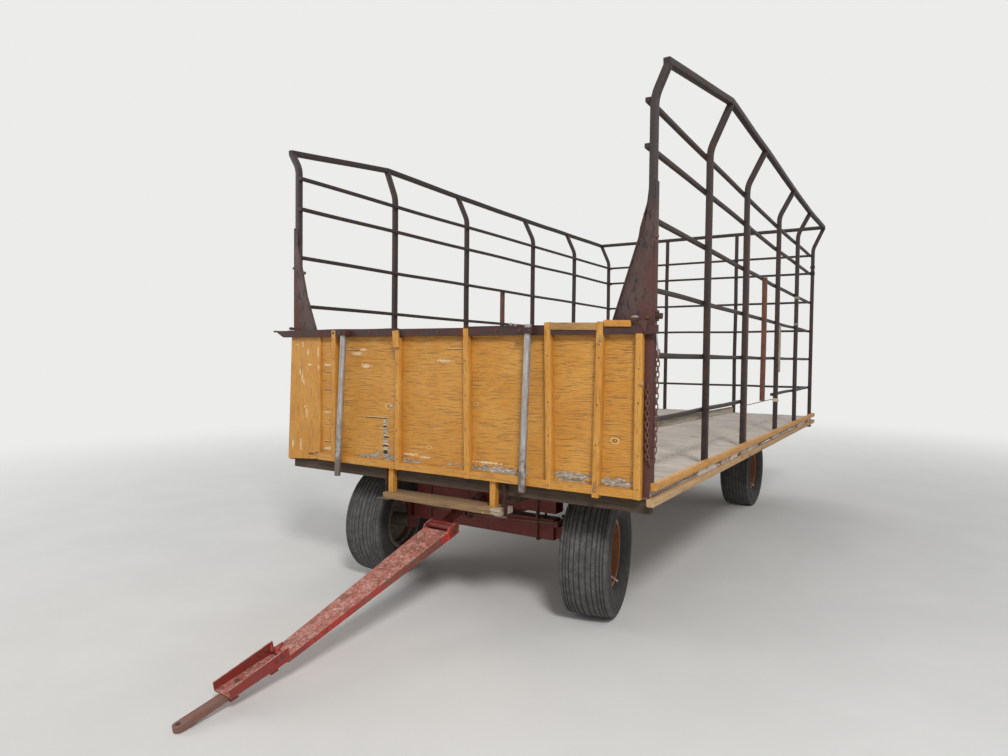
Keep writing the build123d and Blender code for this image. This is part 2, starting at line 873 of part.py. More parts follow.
with BuildPart() as tongue:
    for distance, half, low in tongue_ends:
        with BuildSketch(tongue_plane(distance)):
            with Locations((0, (tongue_top + low) / 2)):
                Rectangle(2 * half, tongue_top - low)
    loft()
    for distance, half, low in tongue_ends:
        with BuildSketch(tongue_plane(distance)):
            with Locations((0, (tongue_top + low) / 2 - tongue_wall)):
                Rectangle(2 * (half - tongue_wall), tongue_top - low)
    loft(mode=Mode.SUBTRACT)
    with BuildSketch(tongue_plane(0)):
        with Locations((0, tongue_top - tongue_wall / 2)):
            Rectangle(2 * (tongue_rear_half - tongue_wall), tongue_wall)
    extrude(amount=top_start, mode=Mode.SUBTRACT)
    for side in (-1, 1):
        with BuildSketch(Plane(origin=hinge + ex * (side * tongue_rear_half), x_dir=along, z_dir=ex * side)):
            with BuildLine():
                Polyline(
                    (-cheek_back, -side * tongue_rear_low),
                    (cheek_length, -side * tongue_rear_low),
                    (cheek_length, -side * tongue_top),
                    (cheek_length - cheek_top, -side * cheek_top),
                    (-cheek_back, -side * cheek_top),
                    close=True,
                )
            make_face()
        extrude(amount=-tongue_wall)
    with BuildSketch(tongue_plane(tongue_length)):
        with Locations((0, (tongue_top + kink_offset + nose_low) / 2)):
            Rectangle(2 * tongue_front_half - tongue_wall, tongue_top - kink_offset - nose_low)
    extrude(amount=-2 * tongue_wall)
    add(nose_box.part)
    with BuildSketch(Plane(origin=hinge, x_dir=ey, z_dir=ex)):
        Circle(hinge_pin_radius + running_gap)
    extrude(amount=tongue_rear_half + 5, both=True, mode=Mode.SUBTRACT)
tongue.part.label = "tongue"

with BuildPart() as hinge_pin:
    with BuildSketch(Plane(origin=hinge - ex * (tongue_rear_half + 14), x_dir=ey, z_dir=ex)):
        Circle(hinge_pin_radius)
    extrude(amount=2 * tongue_rear_half + 28)
    with BuildSketch(Plane(origin=hinge + ex * (tongue_rear_half + 1), x_dir=ey, z_dir=ex)):
        Circle(20)
    extrude(amount=12)
hinge_pin.part.label = "hinge_pin"

# Tip bar that slides under the box, and the two straps that carry it there
tip_start = nose_length - tip_hidden
strap_length = 40
strap_half = tip_half_wide + tip_gap + tongue_wall
strap_low = bar_offset - tip_half_thick - tip_gap - tongue_wall
with BuildPart() as tip_guides:
    for distance in (strap_length, nose_length - strap_length - 15):
        with BuildSketch(nose_plane(distance)):
            with Locations((0, (nose_low + strap_low) / 2)):
                Rectangle(2 * strap_half, nose_low - strap_low)
            with Locations((0, (nose_low + strap_low) / 2 + tongue_wall)):
                Rectangle(2 * (strap_half - tongue_wall), nose_low - strap_low, mode=Mode.SUBTRACT)
        extrude(amount=strap_length)
tip_guides.part.label = "tip_guides"

tip_normal = nose_along.cross(ex)
tip_centre = kink + nose_along * (nose_reach - tip_half_wide) + tip_normal * bar_offset
with BuildPart() as tongue_tip:
    with BuildSketch(nose_plane(tip_start)):
        with Locations((0, bar_offset)):
            Rectangle(2 * tip_half_wide, 2 * tip_half_thick)
    extrude(amount=tip_hidden + tip_length - tip_half_wide)
    with BuildSketch(Plane(origin=tip_centre, x_dir=ex, z_dir=tip_normal)):
        Circle(tip_half_wide)
    extrude(amount=tip_half_thick, both=True)
    with BuildSketch(Plane(origin=tip_centre, x_dir=ex, z_dir=tip_normal)):
        Circle(tip_hole_radius)
    extrude(amount=tip_half_thick, both=True, mode=Mode.SUBTRACT)
tongue_tip.part.label = "tongue_tip"


# Wheels: rim with its disc and hub, and the tyre on it, revolved about the spindle
def wheel(centre, out, rim_name, tyre_name):
    cross = Plane(origin=centre, x_dir=out, z_dir=ez.cross(out) * -1)
    spin = Axis(centre, out)
    offset_in = wheel_offset
    with BuildPart() as rim_part:
        with BuildSketch(cross):
            with BuildLine():
                Polyline(
                    (-rim_half, flange_radius),
                    (-rim_half + rim_wall, flange_radius),
                    (-rim_half + rim_wall, seat_radius),
                    (-60, seat_radius),
                    (-50, well_radius),
                    (30, well_radius),
                    (40, seat_radius),
                    (rim_half - rim_wall, seat_radius),
                    (rim_half - rim_wall, flange_radius),
                    (rim_half, flange_radius),
                    (rim_half, seat_radius - rim_wall),
                    (44, seat_radius - rim_wall),
                    (34, well_radius - rim_wall),
                    (0, well_radius - rim_wall),
                    (-8, 150),
                    (6, 120),
                    (8, 80),
                    (-4, 68),
                    (-4, hub_radius),
                    (hub_end - offset_in, hub_radius),
                    (hub_end - offset_in, 30),
                    (hub_end - offset_in + 18, 26),
                    (hub_end - offset_in + 18, 0),
                    (spindle_end + 7 - offset_in, 0),
                    (spindle_end + 7 - offset_in, spindle_radius + running_gap),
                    (hub_start - offset_in, spindle_radius + running_gap),
                    (hub_start - offset_in, hub_radius),
                    (-12, hub_radius),
                    (-12, 72),
                    (0, 84),
                    (-2, 118),
                    (-16, 148),
                    (-14, well_radius - rim_wall),
                    (-54, well_radius - rim_wall),
                    (-64, seat_radius - rim_wall),
                    (-rim_half, seat_radius - rim_wall),
                    close=True,
                )
            make_face()
        revolve(axis=spin, revolution_arc=360)
    rim_part.part.label = rim_name
    bead_out = rim_half - rim_wall - 0.3
    bead = seat_radius + 0.3
    shoulder = tyre_radius - 9
    bulge_at = flange_radius + 88
    with BuildPart() as tyre_part:
        with BuildSketch(cross):
            with BuildLine():
                Polyline((-bead_out, flange_radius + 1), (-bead_out, bead), (-bead_out + 22, bead))
                ThreePointArc(
                    (-bead_out + 22, bead),
                    (-tyre_half + casing, bulge_at),
                    (-tread_half + 6, shoulder - casing),
                )
                ThreePointArc(
                    (-tread_half + 6, shoulder - casing),
                    (0, tyre_radius - casing - 4),
                    (tread_half - 6, shoulder - casing),
                )
                ThreePointArc(
                    (tread_half - 6, shoulder - casing),
                    (tyre_half - casing, bulge_at),
                    (bead_out - 22, bead),
                )
                Polyline((bead_out - 22, bead), (bead_out, bead), (bead_out, flange_radius + 1))
                ThreePointArc((bead_out, flange_radius + 1), (tyre_half, bulge_at), (tread_half, shoulder))
                ThreePointArc((tread_half, shoulder), (0, tyre_radius), (-tread_half, shoulder))
                ThreePointArc((-tread_half, shoulder), (-tyre_half, bulge_at), (-bead_out, flange_radius + 1))
            make_face()
        revolve(axis=spin, revolution_arc=360)
    tyre_part.part.label = tyre_name
    return rim_part, tyre_part


wheels = []
wheel_table = [
    # name, side, y of the axle, how far the wheel stands turned
    ("front_left", 1, axle_y[0], left_turn),
    ("front_right", -1, axle_y[0], right_turn),
    ("rear_left", 1, axle_y[1], 0),
    ("rear_right", -1, axle_y[1], 0),
]
for place, side, y, turn in wheel_table:
    out = Vector(*turned(side, 0, turn), 0)
    centre = Vector(side * king_x, y, hub_height) + out * wheel_offset
    wheels += wheel(centre, out, f"{place}_wheel", f"{place}_tyre")

pieces = [
    deck_planks, side_curbs, side_nailers, main_sills, outer_stringers, end_sills,
    left_top_rail, right_top_rail, left_rack_posts, right_rack_posts, left_rack_rails, right_rack_rails,
    tie_wire, rear_top_rail, rear_rack_posts, rear_rack_rails, bay_posts,
    panel_plywood, panel_steel_rail, panel_battens, panel_foot_rails, panel_end_board,
    panel_poles, pole_clips, corner_gussets, step_board, step_hangers, step_straps,
    front_axle, rear_axle, front_bolster, rear_bolster, axle_saddles, reach_pole, reach_braces,
    hound_lugs, king_bolt, steering_hound, left_knuckle, right_knuckle, left_tie_rod, right_tie_rod,
    tongue, hinge_pin, tip_guides, tongue_tip,
] + wheels

for piece in pieces:
    export_step(piece.part, f"parts/{piece.part.label}.step")

print("middle", round(middle, 3), "slopes", tongue_slope, round(nose_slope, 4))
print("hinge", [round(v, 3) for v in tuple(hinge)])
print("pivot", [round(v, 3) for v in tuple(pivot)])
print("along", [round(v, 6) for v in tuple(along)], "ex", [round(v, 6) for v in tuple(ex)])
print("nose", [round(v, 6) for v in tuple(nose_along)], "tip", [round(v, 3) for v in tuple(tip_centre)])
print("axles", [round(v, 3) for v in axle_y])
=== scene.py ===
import math

import bmesh
import bpy
import numpy as np
from mathutils import Matrix


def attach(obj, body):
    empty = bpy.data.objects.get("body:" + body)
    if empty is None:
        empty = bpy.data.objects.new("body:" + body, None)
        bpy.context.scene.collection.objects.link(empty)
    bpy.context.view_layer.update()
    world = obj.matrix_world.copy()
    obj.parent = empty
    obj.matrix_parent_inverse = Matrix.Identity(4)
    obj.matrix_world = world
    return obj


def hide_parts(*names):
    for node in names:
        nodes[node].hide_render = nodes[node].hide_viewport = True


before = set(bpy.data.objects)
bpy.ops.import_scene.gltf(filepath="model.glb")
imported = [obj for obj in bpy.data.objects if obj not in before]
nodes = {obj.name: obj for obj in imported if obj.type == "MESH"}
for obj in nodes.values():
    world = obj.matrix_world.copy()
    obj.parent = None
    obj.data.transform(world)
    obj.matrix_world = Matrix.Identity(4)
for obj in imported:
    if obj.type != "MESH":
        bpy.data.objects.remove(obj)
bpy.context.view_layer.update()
print("frame loaded with", len(nodes), "nodes")

frontEdge = 1934.211
upward, forward, rearward, leftward = (0, 0, 1), (0, -1, 0), (0, 1, 0), (1, 0, 0)


def back(station):
    # a station, in millimetres behind the deck's front edge, as a place along Y
    return (station - frontEdge) / 1000


def unit(arrows):
    return arrows / np.linalg.norm(arrows, axis=-1, keepdims=True)


def ripple(points, size, seed):
    # about -1 to 1: the mean of a few sine waves running in random directions, some size metres long
    rng, count = np.random.default_rng(seed + 1000), 6
    way = unit(rng.normal(size=(count, 3))) * (2 * np.pi / (size * rng.uniform(0.6, 1.7, (count, 1))))
    return np.sin(points @ way.T + rng.uniform(0, 2 * np.pi, count)).mean(-1) * 1.5


def swayed(path, size, seed, sway):
    # a path moved off its line by a ripple along sway
    return path + ripple(path, size, seed)[:, None] * sway


def roundedBox(wide, tall, radius, steps=2):
    # a rectangle whose corners are arcs, counter-clockwise from its right side
    quarter = np.arange(4)[:, None] * np.pi / 2
    turn = quarter + np.linspace(0, np.pi / 2, steps + 1)
    middle = quarter + np.pi / 4
    x = np.sign(np.cos(middle)) * (wide / 2 - radius) + radius * np.cos(turn)
    y = np.sign(np.sin(middle)) * (tall / 2 - radius) + radius * np.sin(turn)
    return np.stack([x.ravel(), y.ravel()], 1)


def ring(radius, sides=8):
    turn = np.arange(sides) * 2 * np.pi / sides
    return np.stack([np.cos(turn), np.sin(turn)], 1) * radius


def arcThrough(first, middle, last, count):
    # points along the circle that passes through three points, from the first to the last
    a, b, c = (complex(*p) for p in (first, middle, last))
    w = (c - a) / (b - a)
    centre = a + (b - a) * (w - abs(w) ** 2) / (2j * w.imag)
    start, mid, stop = (np.angle(p - centre) for p in (a, b, c))
    sweep = (stop - start) % (2 * np.pi)
    if (mid - start) % (2 * np.pi) > sweep:
        sweep -= 2 * np.pi
    spot = centre + abs(a - centre) * np.exp(1j * (start + sweep * np.linspace(0, 1, count)))
    return np.stack([spot.real, spot.imag], 1)


def line(start, end, count):
    return np.asarray(start, float) + (np.asarray(end, float) - start) * np.linspace(0, 1, count)[:, None]


def distances(points):
    # how far along the path each point is
    return np.r_[0, np.cumsum(np.linalg.norm(np.diff(points, axis=0), axis=1))]


def placesAt(points, at):
    # the places that lie at the given distances along the path
    return np.stack([np.interp(at, distances(points), points[:, axis]) for axis in range(3)], 1)


def through(points, step):
    # points spaced about a step apart along straight runs
    points = np.asarray(points, float)
    reach = distances(points)
    even = np.linspace(0, reach[-1], max(2, int(reach[-1] / step) + 1))
    return placesAt(points, np.union1d(even, reach))


def carried(path, rise, profile, loop=False):
    # point(i, k) = path(i) + side(i) * profile(k).x + up(i) * profile(k).y; side is across the path and the rise
    tangent = unit(np.roll(path, -1, 0) - np.roll(path, 1, 0) if loop else np.gradient(path, axis=0))
    side = unit(np.cross(tangent, rise))
    up = np.cross(side, tangent)
    return path[:, None] + side[:, None] * profile[..., :1] + up[:, None] * profile[..., 1:]


class Heap:
    # gathers surfaces that become one mesh

    def __init__(self):
        self.points, self.places, self.tones, self.quads, self.fans = [], [], [], [], []
        self.count = 0
        self.rng = np.random.default_rng(5)

    def grid(self, points, place, tone=None, loop=False, around=True):
        # a grid of rows and columns, its columns wrapping round; the ends are closed to their middles
        rows, columns = points.shape[:2]
        i = np.arange(rows if loop else rows - 1)[:, None]
        k = np.arange(columns if around else columns - 1)[None, :]
        after, below = (k + 1) % columns, (i + 1) % rows * columns
        corners = i * columns + k, below + k, below + after, i * columns + after
        self.quads.append(np.stack(corners, -1).reshape(-1, 4) + self.count)
        if place is None:
            reach, turn = distances(points.mean(1)), np.arange(columns) / columns
            place = np.stack(np.broadcast_arrays(reach[:, None], turn[None, :] * 0.1, 0.0), -1)
        place = place + self.rng.uniform(0, 40, 3)
        flat, flatPlace = points.reshape(-1, 3), place.reshape(-1, 3)
        if not loop:
            first, last, base = len(flat), len(flat) + 1, (rows - 1) * columns
            flat = np.concatenate([flat, points[[0]].mean(1), points[[-1]].mean(1)])
            flatPlace = np.concatenate([flatPlace, place[[0]].mean(1), place[[-1]].mean(1)])
            k = np.arange(columns)
            after = (k + 1) % columns
            self.fans.append(np.stack([k, after, np.full(columns, first)], 1) + self.count)
            self.fans.append(np.stack([base + after, base + k, np.full(columns, last)], 1) + self.count)
        tone = self.rng.uniform() if tone is None else tone
        self.points.append(flat)
        self.places.append(flatPlace)
        self.tones.append(np.full(len(flat), tone))
        self.count += len(flat)

    def bar(self, path, rise, profile, loop=False):
        # a profile, or one profile for each point, carried along a path
        path = np.asarray(path, float)
        profile = np.broadcast_to(profile, (len(path),) + np.shape(profile)[-2:])
        reach = np.broadcast_to(distances(path)[:, None, None], profile.shape[:2] + (1,))
        self.grid(carried(path, rise, profile, loop), np.concatenate([reach, profile], -1), loop=loop)

    def stick(self, start, end, count, rise, *box):
        self.bar(line(start, end, count), rise, roundedBox(*box))

    def board(self, start, end, rise, wide, thick, seed, edge=0.004, stations=32, bow=0.0015, ragged=0.0, tone=None):
        # a rounded rectangle carried from start to end; its line bows, its width wavers, its ends are ragged
        start, end, rise = (np.asarray(v, float) for v in (start, end, rise))
        path = swayed(line(start, end, stations), 1.3, seed, rise * bow)
        path = swayed(path, 1.7, seed + 1, unit(np.cross(end - start, rise)) * bow)
        profile = roundedBox(wide, thick, edge) * (1 + 0.012 * ripple(path, 0.4, seed + 2)[:, None, None])
        points = carried(path, rise, profile)
        for n, way in ((0, 1), (-1, -1)):
            jag = ripple(points[n], 0.03, seed + (3 if n == 0 else 4))[:, None] - 0.5
            points[n] += unit(end - start) * jag * ragged * way
        reach = np.linspace(0, np.linalg.norm(end - start), stations)[:, None, None]
        place = np.concatenate([np.broadcast_to(reach, profile.shape[:2] + (1,)), profile], -1)
        self.grid(points, place, tone)

    def turned(self, centre, out, profile, sides=12, wrap=False, twist=0.0, place=False):
        # point(i, k) = centre + out * profile(k).x + (across * cos + above * sin)(i) * profile(k).y
        centre, out = np.asarray(centre, float), unit(np.asarray(out, float))
        across = unit(np.cross(upward if abs(out[2]) < 0.9 else leftward, out))
        above = np.cross(out, across)
        turn = np.arange(sides)[:, None, None] * 2 * np.pi / sides + twist
        profile = np.asarray(profile, float)
        spoke = across * np.cos(turn) + above * np.sin(turn)
        points = centre + out * profile[None, :, :1] + spoke * profile[None, :, 1:]
        where = None
        if place:
            girth = turn[..., 0] * tyre["radius"]
            where = np.stack(np.broadcast_arrays(girth, profile[None, :, 0], profile[None, :, 1]), -1)
        self.grid(points, where, loop=True, around=wrap)

    def bolt(self, centre, out, radius, high, sides=6):
        shape = [(-0.002, 0), (-0.002, radius), (high * 0.85, radius), (high, radius * 0.8), (high, 0)]
        self.turned(centre, out, shape, sides, twist=0.3)

    def nail(self, centre, out, radius, high, sides):
        self.turned(centre, out, [(-0.003, 0), (-0.003, radius), (0.0006, radius), (high, 0)], sides)

    def blob(self, centre, size, seed, sides=8):
        # an uneven ball: a sphere's grid, each point's distance changed by a ripple
        centre, size = np.asarray(centre, float), np.asarray(size, float)
        rise = np.linspace(-np.pi / 2, np.pi / 2, 7)[None, :]
        turn = np.arange(sides)[:, None] * 2 * np.pi / sides
        ball = np.stack([np.cos(turn) * np.cos(rise), np.sin(turn) * np.cos(rise), np.sin(rise) + 0 * turn], -1)
        ball = ball * (1 + 0.22 * ripple(ball * size + centre, size.max() * 1.5, seed)[..., None])
        self.grid(centre + ball * size, None, loop=True, around=False)

    def piece(self, name, look, body, slotName, stands=(), crease=38, seams=False):
        faces = np.concatenate(self.quads).tolist() + [f for fan in self.fans for f in fan.tolist()]
        mesh = bpy.data.meshes.new(name)
        mesh.from_pydata(np.concatenate(self.points).tolist(), [], faces)
        place = mesh.attributes.new("place", "FLOAT_VECTOR", "POINT")
        place.data.foreach_set("vector", np.concatenate(self.places).ravel())
        tone = mesh.attributes.new("tone", "FLOAT", "POINT")
        tone.data.foreach_set("value", np.concatenate(self.tones))
        if seams:
            closeSeams(mesh)
        mesh.polygons.foreach_set("use_smooth", np.ones(len(mesh.polygons), bool))
        mesh.set_sharp_from_angle(angle=math.radians(crease))
        mesh.materials.append(looks[look].material)
        made = bpy.data.objects.new(name, mesh)
        bpy.context.scene.collection.objects.link(made)
        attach(made, body)
        if stands:
            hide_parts(*stands)


def closeSeams(mesh):
    # joins the points that lie on one another where a turned shape meets its axis
    work = bmesh.new()
    work.from_mesh(mesh)
    bmesh.ops.remove_doubles(work, verts=work.verts, dist=1e-6)
    work.to_mesh(mesh)
    work.free()


def tint(red, green, blue):
    # a colour as seen on a screen, 0 to 255, made linear
    return tuple(((c / 255 + 0.055) / 1.055) ** 2.4 if c > 10 else c / 255 / 12.92 for c in (red, green, blue)) + (1.0,)


def drawn(axis, times):
    # how a cloud is drawn out along one axis
    return tuple(times if a == axis else 1.0 for a in range(3))


class Wire:
    # a node's output that takes part in sums
    def __init__(self, look, socket):
        self.look, self.socket = look, socket

    def __add__(self, other):
        return self.look.sum("ADD", self, other)

    def __sub__(self, other):
        return self.look.sum("SUBTRACT", self, other)

    def __mul__(self, other):
        return self.look.sum("MULTIPLY", self, other)

    def __abs__(self):
        return self.look.sum("ABSOLUTE", self, 0.0)

    __radd__ = __add__
    __rmul__ = __mul__


class Look:
    # one material; middle is a point in the piece's own frame, spot a point as its pattern counts it
    def __init__(self, name, ownPlace=False, kind="materials"):
        self.material = getattr(bpy.data, kind).new(name)
        self.material.use_nodes = True
        self.tree = self.material.node_tree
        self.tree.nodes.clear()
        if kind == "materials":
            self.middle = self.spot = self.node("ShaderNodeTexCoord", {}, {}, "Object")
        if ownPlace:
            self.spot = self.node("ShaderNodeAttribute", {"attribute_name": "place"}, {}, "Vector")
            self.tone = self.node("ShaderNodeAttribute", {"attribute_name": "tone"}, {}, "Fac")

    def node(self, kind, settings, inputs, output=0):
        made = self.tree.nodes.new(kind)
        for key, value in settings.items():
            setattr(made, key, value)
        for key, value in inputs.items():
            if isinstance(value, Wire):
                self.tree.links.new(value.socket, made.inputs[key])
            else:
                made.inputs[key].default_value = value
        return Wire(self, made.outputs[output] if len(made.outputs) else None)

    def sum(self, operation, first, second):
        return self.node("ShaderNodeMath", {"operation": operation}, {0: first, 1: second})

    def most(self, first, second):
        return self.sum("MAXIMUM", first, second)

    def arrow(self, operation, first, second=(0.0, 0.0, 0.0), output="Vector"):
        return self.node("ShaderNodeVectorMath", {"operation": operation}, {0: first, 1: second}, output)

    def ease(self, value, low, high):
        # 0 below low, 1 above high, smooth between; the other way round when low is the larger
        inputs = {"Value": value, "From Min": low, "From Max": high}
        return self.node("ShaderNodeMapRange", {"interpolation_type": "SMOOTHSTEP"}, inputs)

    def noise(self, size, detail=4.0, rough=0.6, stretch=(1, 1, 1), where=None, band=None):
        # clouds about size metres across, drawn out along each axis by stretch; a band eases them from 0 to 1
        scaled = self.arrow("MULTIPLY", where or self.spot, tuple(1 / (size * s) for s in stretch))
        inputs = {"Vector": scaled, "Scale": 1.0, "Detail": detail, "Roughness": rough}
        cloud = self.node("ShaderNodeTexNoise", {}, inputs)
        return self.ease(cloud, *band) if band else cloud

    def cells(self, size, stretch=(1, 1, 1)):
        scaled = self.arrow("MULTIPLY", self.spot, tuple(1 / (size * s) for s in stretch))
        return self.node("ShaderNodeTexVoronoi", {}, {"Vector": scaled, "Scale": 1.0}, "Distance")

    def layers(self, colour, *coats):
        # a colour with coats over it, each of them a mask and a colour
        for mask, shade in coats:
            first, second = (c if isinstance(c, Wire) else tint(*c) for c in (colour, shade))
            colour = self.node("ShaderNodeMix", {"data_type": "RGBA"}, {0: mask, 6: first, 7: second}, 2)
        return colour

    def part(self, vector, axis):
        return self.node("ShaderNodeSeparateXYZ", {}, {0: vector}, axis)

    def slope(self, axis):
        # how far the surface faces along an axis
        return self.part(self.node("ShaderNodeTexCoord", {}, {}, "Normal"), axis)

    def away(self, place, scale):
        # how far a point is from a place, with each axis scaled
        apart = self.arrow("MULTIPLY", self.arrow("SUBTRACT", self.middle, place), scale)
        return self.arrow("LENGTH", apart, output="Value")

    def patch(self, x, z, wide, tall, ragged=0.9, size=0.03):
        # 1 inside an upright ellipse with a ragged rim
        away = self.away((x, 0, z), (1 / wide, 0, 1 / tall))
        return self.ease(away + (self.noise(size) - 0.5) * ragged * 4, 1.06, 0.94)

    def near(self, place, size):
        # 1 inside a ball about place with a ragged rim
        away = self.away(place, (1 / size,) * 3)
        return self.ease(away + (self.noise(0.03) - 0.5) * 3.6, 1.1, 0.9)

    def seen(self, alsoGloss=False):
        # 1 on a ray from the camera, and on a reflection when that is asked for
        ray = self.node("ShaderNodeLightPath", {}, {}, "Is Camera Ray")
        if alsoGloss:
            ray = self.most(ray, self.node("ShaderNodeLightPath", {}, {}, "Is Glossy Ray"))
        return ray

    def edges(self, radius):
        # 1 on a sharp edge
        smooth = self.node("ShaderNodeBevel", {"samples": 4}, {"Radius": radius})
        flat = self.node("ShaderNodeNewGeometry", {}, {}, "Normal")
        return self.ease(self.arrow("DOT_PRODUCT", smooth, flat, "Value"), 0.985, 0.86)

    def skin(self, colour, rough, height, deep, metal=0.0):
        # deep is how many metres the height of 1 stands for
        bump = self.node("ShaderNodeBump", {}, {"Height": height, "Strength": 0.8, "Distance": deep})
        inputs = {"Base Color": colour, "Roughness": rough, "Metallic": metal, "Normal": bump}
        shader = self.node("ShaderNodeBsdfPrincipled", {}, inputs)
        self.node("ShaderNodeOutputMaterial", {}, {"Surface": shader})
        return self


def bareWood(name, light, deep, crack, dirt, grainAxis=None, checks=0.5, pale=()):
    # weathered boards: long grain, thin drying cracks, knots, a tone for each board
    look = Look(name, grainAxis is None)
    axis = grainAxis or 0
    grain = look.noise(0.006, 6.0, 0.7, drawn(axis, 22.0))
    fine = look.noise(0.0022, 3.0, 0.7, drawn(axis, 60.0))
    cloud = look.noise(0.09, 4.0, 0.6, drawn(axis, 3.0))
    cracks = look.noise(0.008, 4.0, 0.65, drawn(axis, 60.0), band=(0.64 - 0.04 * checks, 0.67))
    knots = look.ease(look.cells(0.16, drawn(axis, 2.4)), 0.13, 0.07)
    colour = look.layers(light, (look.ease(grain, 0.36, 0.66), deep), (look.ease(cloud, 0.42, 0.70) * 0.6, dirt))
    if grainAxis is None:
        colour = look.layers(colour, (look.tone * 0.45, deep))
    for spot in pale:
        colour = look.layers(colour, (look.patch(*spot, 1.5, 0.05) * 0.5, (202, 190, 172)))
    colour = look.layers(
        colour, (look.ease(fine, 0.55, 0.75) * 0.35, crack), (cracks * 0.8, crack), (knots * 0.6, crack))
    return look.skin(colour, 0.86, grain * 0.5 + fine * 0.3 - cracks * 0.9, 0.0014)


ochre = dict(
    # glow, on the next line, is the colour of a painted highlight along the grain lines
    paint=(196, 132, 46), faded=(206, 148, 64), bare=(176, 168, 160), dark=(98, 62, 26), glow=(232, 186, 108),
    # the pale rim of a knot, on the next line, is a painted highlight
    knotHighlight=(236, 196, 126), scrape=(232, 212, 176), brownWood=(124, 110, 84), paleWood=(218, 208, 188),
    # the pale lip of a split is a painted highlight; the split's own dark is partly painted shade
    splitLipHighlight=(232, 196, 136), split=(52, 34, 20),
)


def paintedWood(name, grainAxis=None, wear=0.5, bareLow=None, relief=1.0, spots=(), knots=(), splits=(), scrapes=()):
    # old paint that follows the wood's relief, thin dark lines along the grain with a painted highlight above each,
    # chips to grey wood
    v = ochre
    look = Look(name, grainAxis is None)
    axis = grainAxis or 0
    longer = drawn(axis, 26.0)
    swirl = look.noise(0.16, 2.0, 0.5)
    swirl = look.node("ShaderNodeCombineXYZ", {}, {0: swirl * 0.02, 1: swirl * 0.02, 2: swirl * 0.04})
    bent = look.arrow("ADD", look.spot, swirl)
    waves = look.noise(0.011, 5.0, 0.62, drawn(axis, 7.0), bent)
    # lines are dark checks along the grain with painted shade in them, thin a finer set of them; glow is the same lines
    # moved 2.2 mm up and painted pale, a painted highlight
    lines, glow = (look.noise(0.0068, 4.0, 0.62, longer, where, (0.555, 0.65))
                   for where in (bent, look.arrow("ADD", bent, (0.0, 0.0, 0.0022))))
    thin = look.noise(0.0040, 3.0, 0.6, longer, bent, (0.54, 0.66))
    grime = look.noise(0.05, 6.0, 0.7, band=(0.56, 0.78))
    colour = look.layers(
        v["paint"], (look.noise(0.22, band=(0.34, 0.68)), v["faded"]),
        (look.ease(waves, 0.30, 0.72) * 0.35, v["faded"]), (glow * 0.32, v["glow"]), (lines * 0.50, v["dark"]),
        (thin * 0.38, v["dark"]), (grime * 0.28, v["dark"]))
    for x, z, size in knots:
        # a raised knot: a dark ring with a pale rim, the rim a painted highlight
        away = look.away((x, 0, z), (1 / size, 0, 1.5 / size)) + (look.noise(0.02) - 0.5) * 0.9
        colour = look.layers(
            colour, (look.ease(abs(away - 1.0), 0.40, 0.10) * 0.8, v["knotHighlight"]),
            (look.ease(abs(away - 0.62), 0.26, 0.08) * 0.8, v["dark"]))
    for spot in scrapes:
        colour = look.layers(colour, (look.patch(*spot, 1.0, 0.012) * 0.75, v["scrape"]))
    grey = look.layers(
        v["bare"], (look.noise(0.006, 4.0, 0.7, longer, band=(0.35, 0.65)), v["brownWood"]),
        (look.noise(0.007, 4.0, 0.7, drawn(axis, 4.0), band=(0.52, 0.60)), v["paleWood"]),
        (look.noise(0.010, 3.0, 0.6, drawn(axis, 3.0), band=(0.60, 0.66)) * 0.7, v["dark"]))
    chips = look.noise(0.035, 7.0, 0.72, drawn(axis, 1.8), band=(0.735 - 0.07 * wear, 0.755 - 0.07 * wear))
    for spot in spots:
        chips = look.most(chips, look.patch(*spot))
    if bareLow is not None:
        rise = look.part(look.middle, 2) - (look.noise(0.10, 5.0, 0.65, (3, 1, 1)) - 0.5) * 0.30
        low = look.ease(rise, bareLow + 0.012, bareLow - 0.004)
        chips = look.most(chips, low * look.noise(0.012, 4.0, 0.65, (3.5, 1, 1), band=(0.40, 0.47)))
    colour = look.layers(colour, (chips, grey))
    for x, z, wide, tall in splits:
        # a dark split, partly painted shade, with a pale lip above it that is a painted highlight
        colour = look.layers(
            colour, (look.patch(x, z + tall * 1.6, wide, tall, 0.25) * 0.6, v["splitLipHighlight"]),
            (look.patch(x, z, wide, tall, 0.25), v["split"]))
    height = waves * 0.7 * relief - (lines * 0.5 + thin * 0.25) * relief - chips * 0.5
    return look.skin(colour, 0.52 + 0.3 * chips + 0.12 * grime, height, 0.0034)


def rustySteel(name, base, rust, pale, metal=0.25, amount=0.5, ownPlace=False):
    # brown-black mill steel under patchy rust, with pale scuffs
    look = Look(name, ownPlace)
    cloud = look.noise(0.07, 6.0, 0.7)
    specks = look.noise(0.007, 5.0, 0.75)
    rusty = look.ease(cloud + specks * 0.5, 0.83 - 0.2 * amount, 1.0 - 0.2 * amount)
    scuffs = look.noise(0.018, 6.0, 0.8, band=(0.63, 0.70))
    colour = look.layers(
        base, (rusty, rust), (look.ease(specks, 0.56, 0.70) * 0.5, (38, 30, 28)), (scuffs * 0.55, pale))
    return look.skin(colour, 0.58 + 0.26 * rusty, specks * 0.5 + cloud * 0.4, 0.0007, metal)


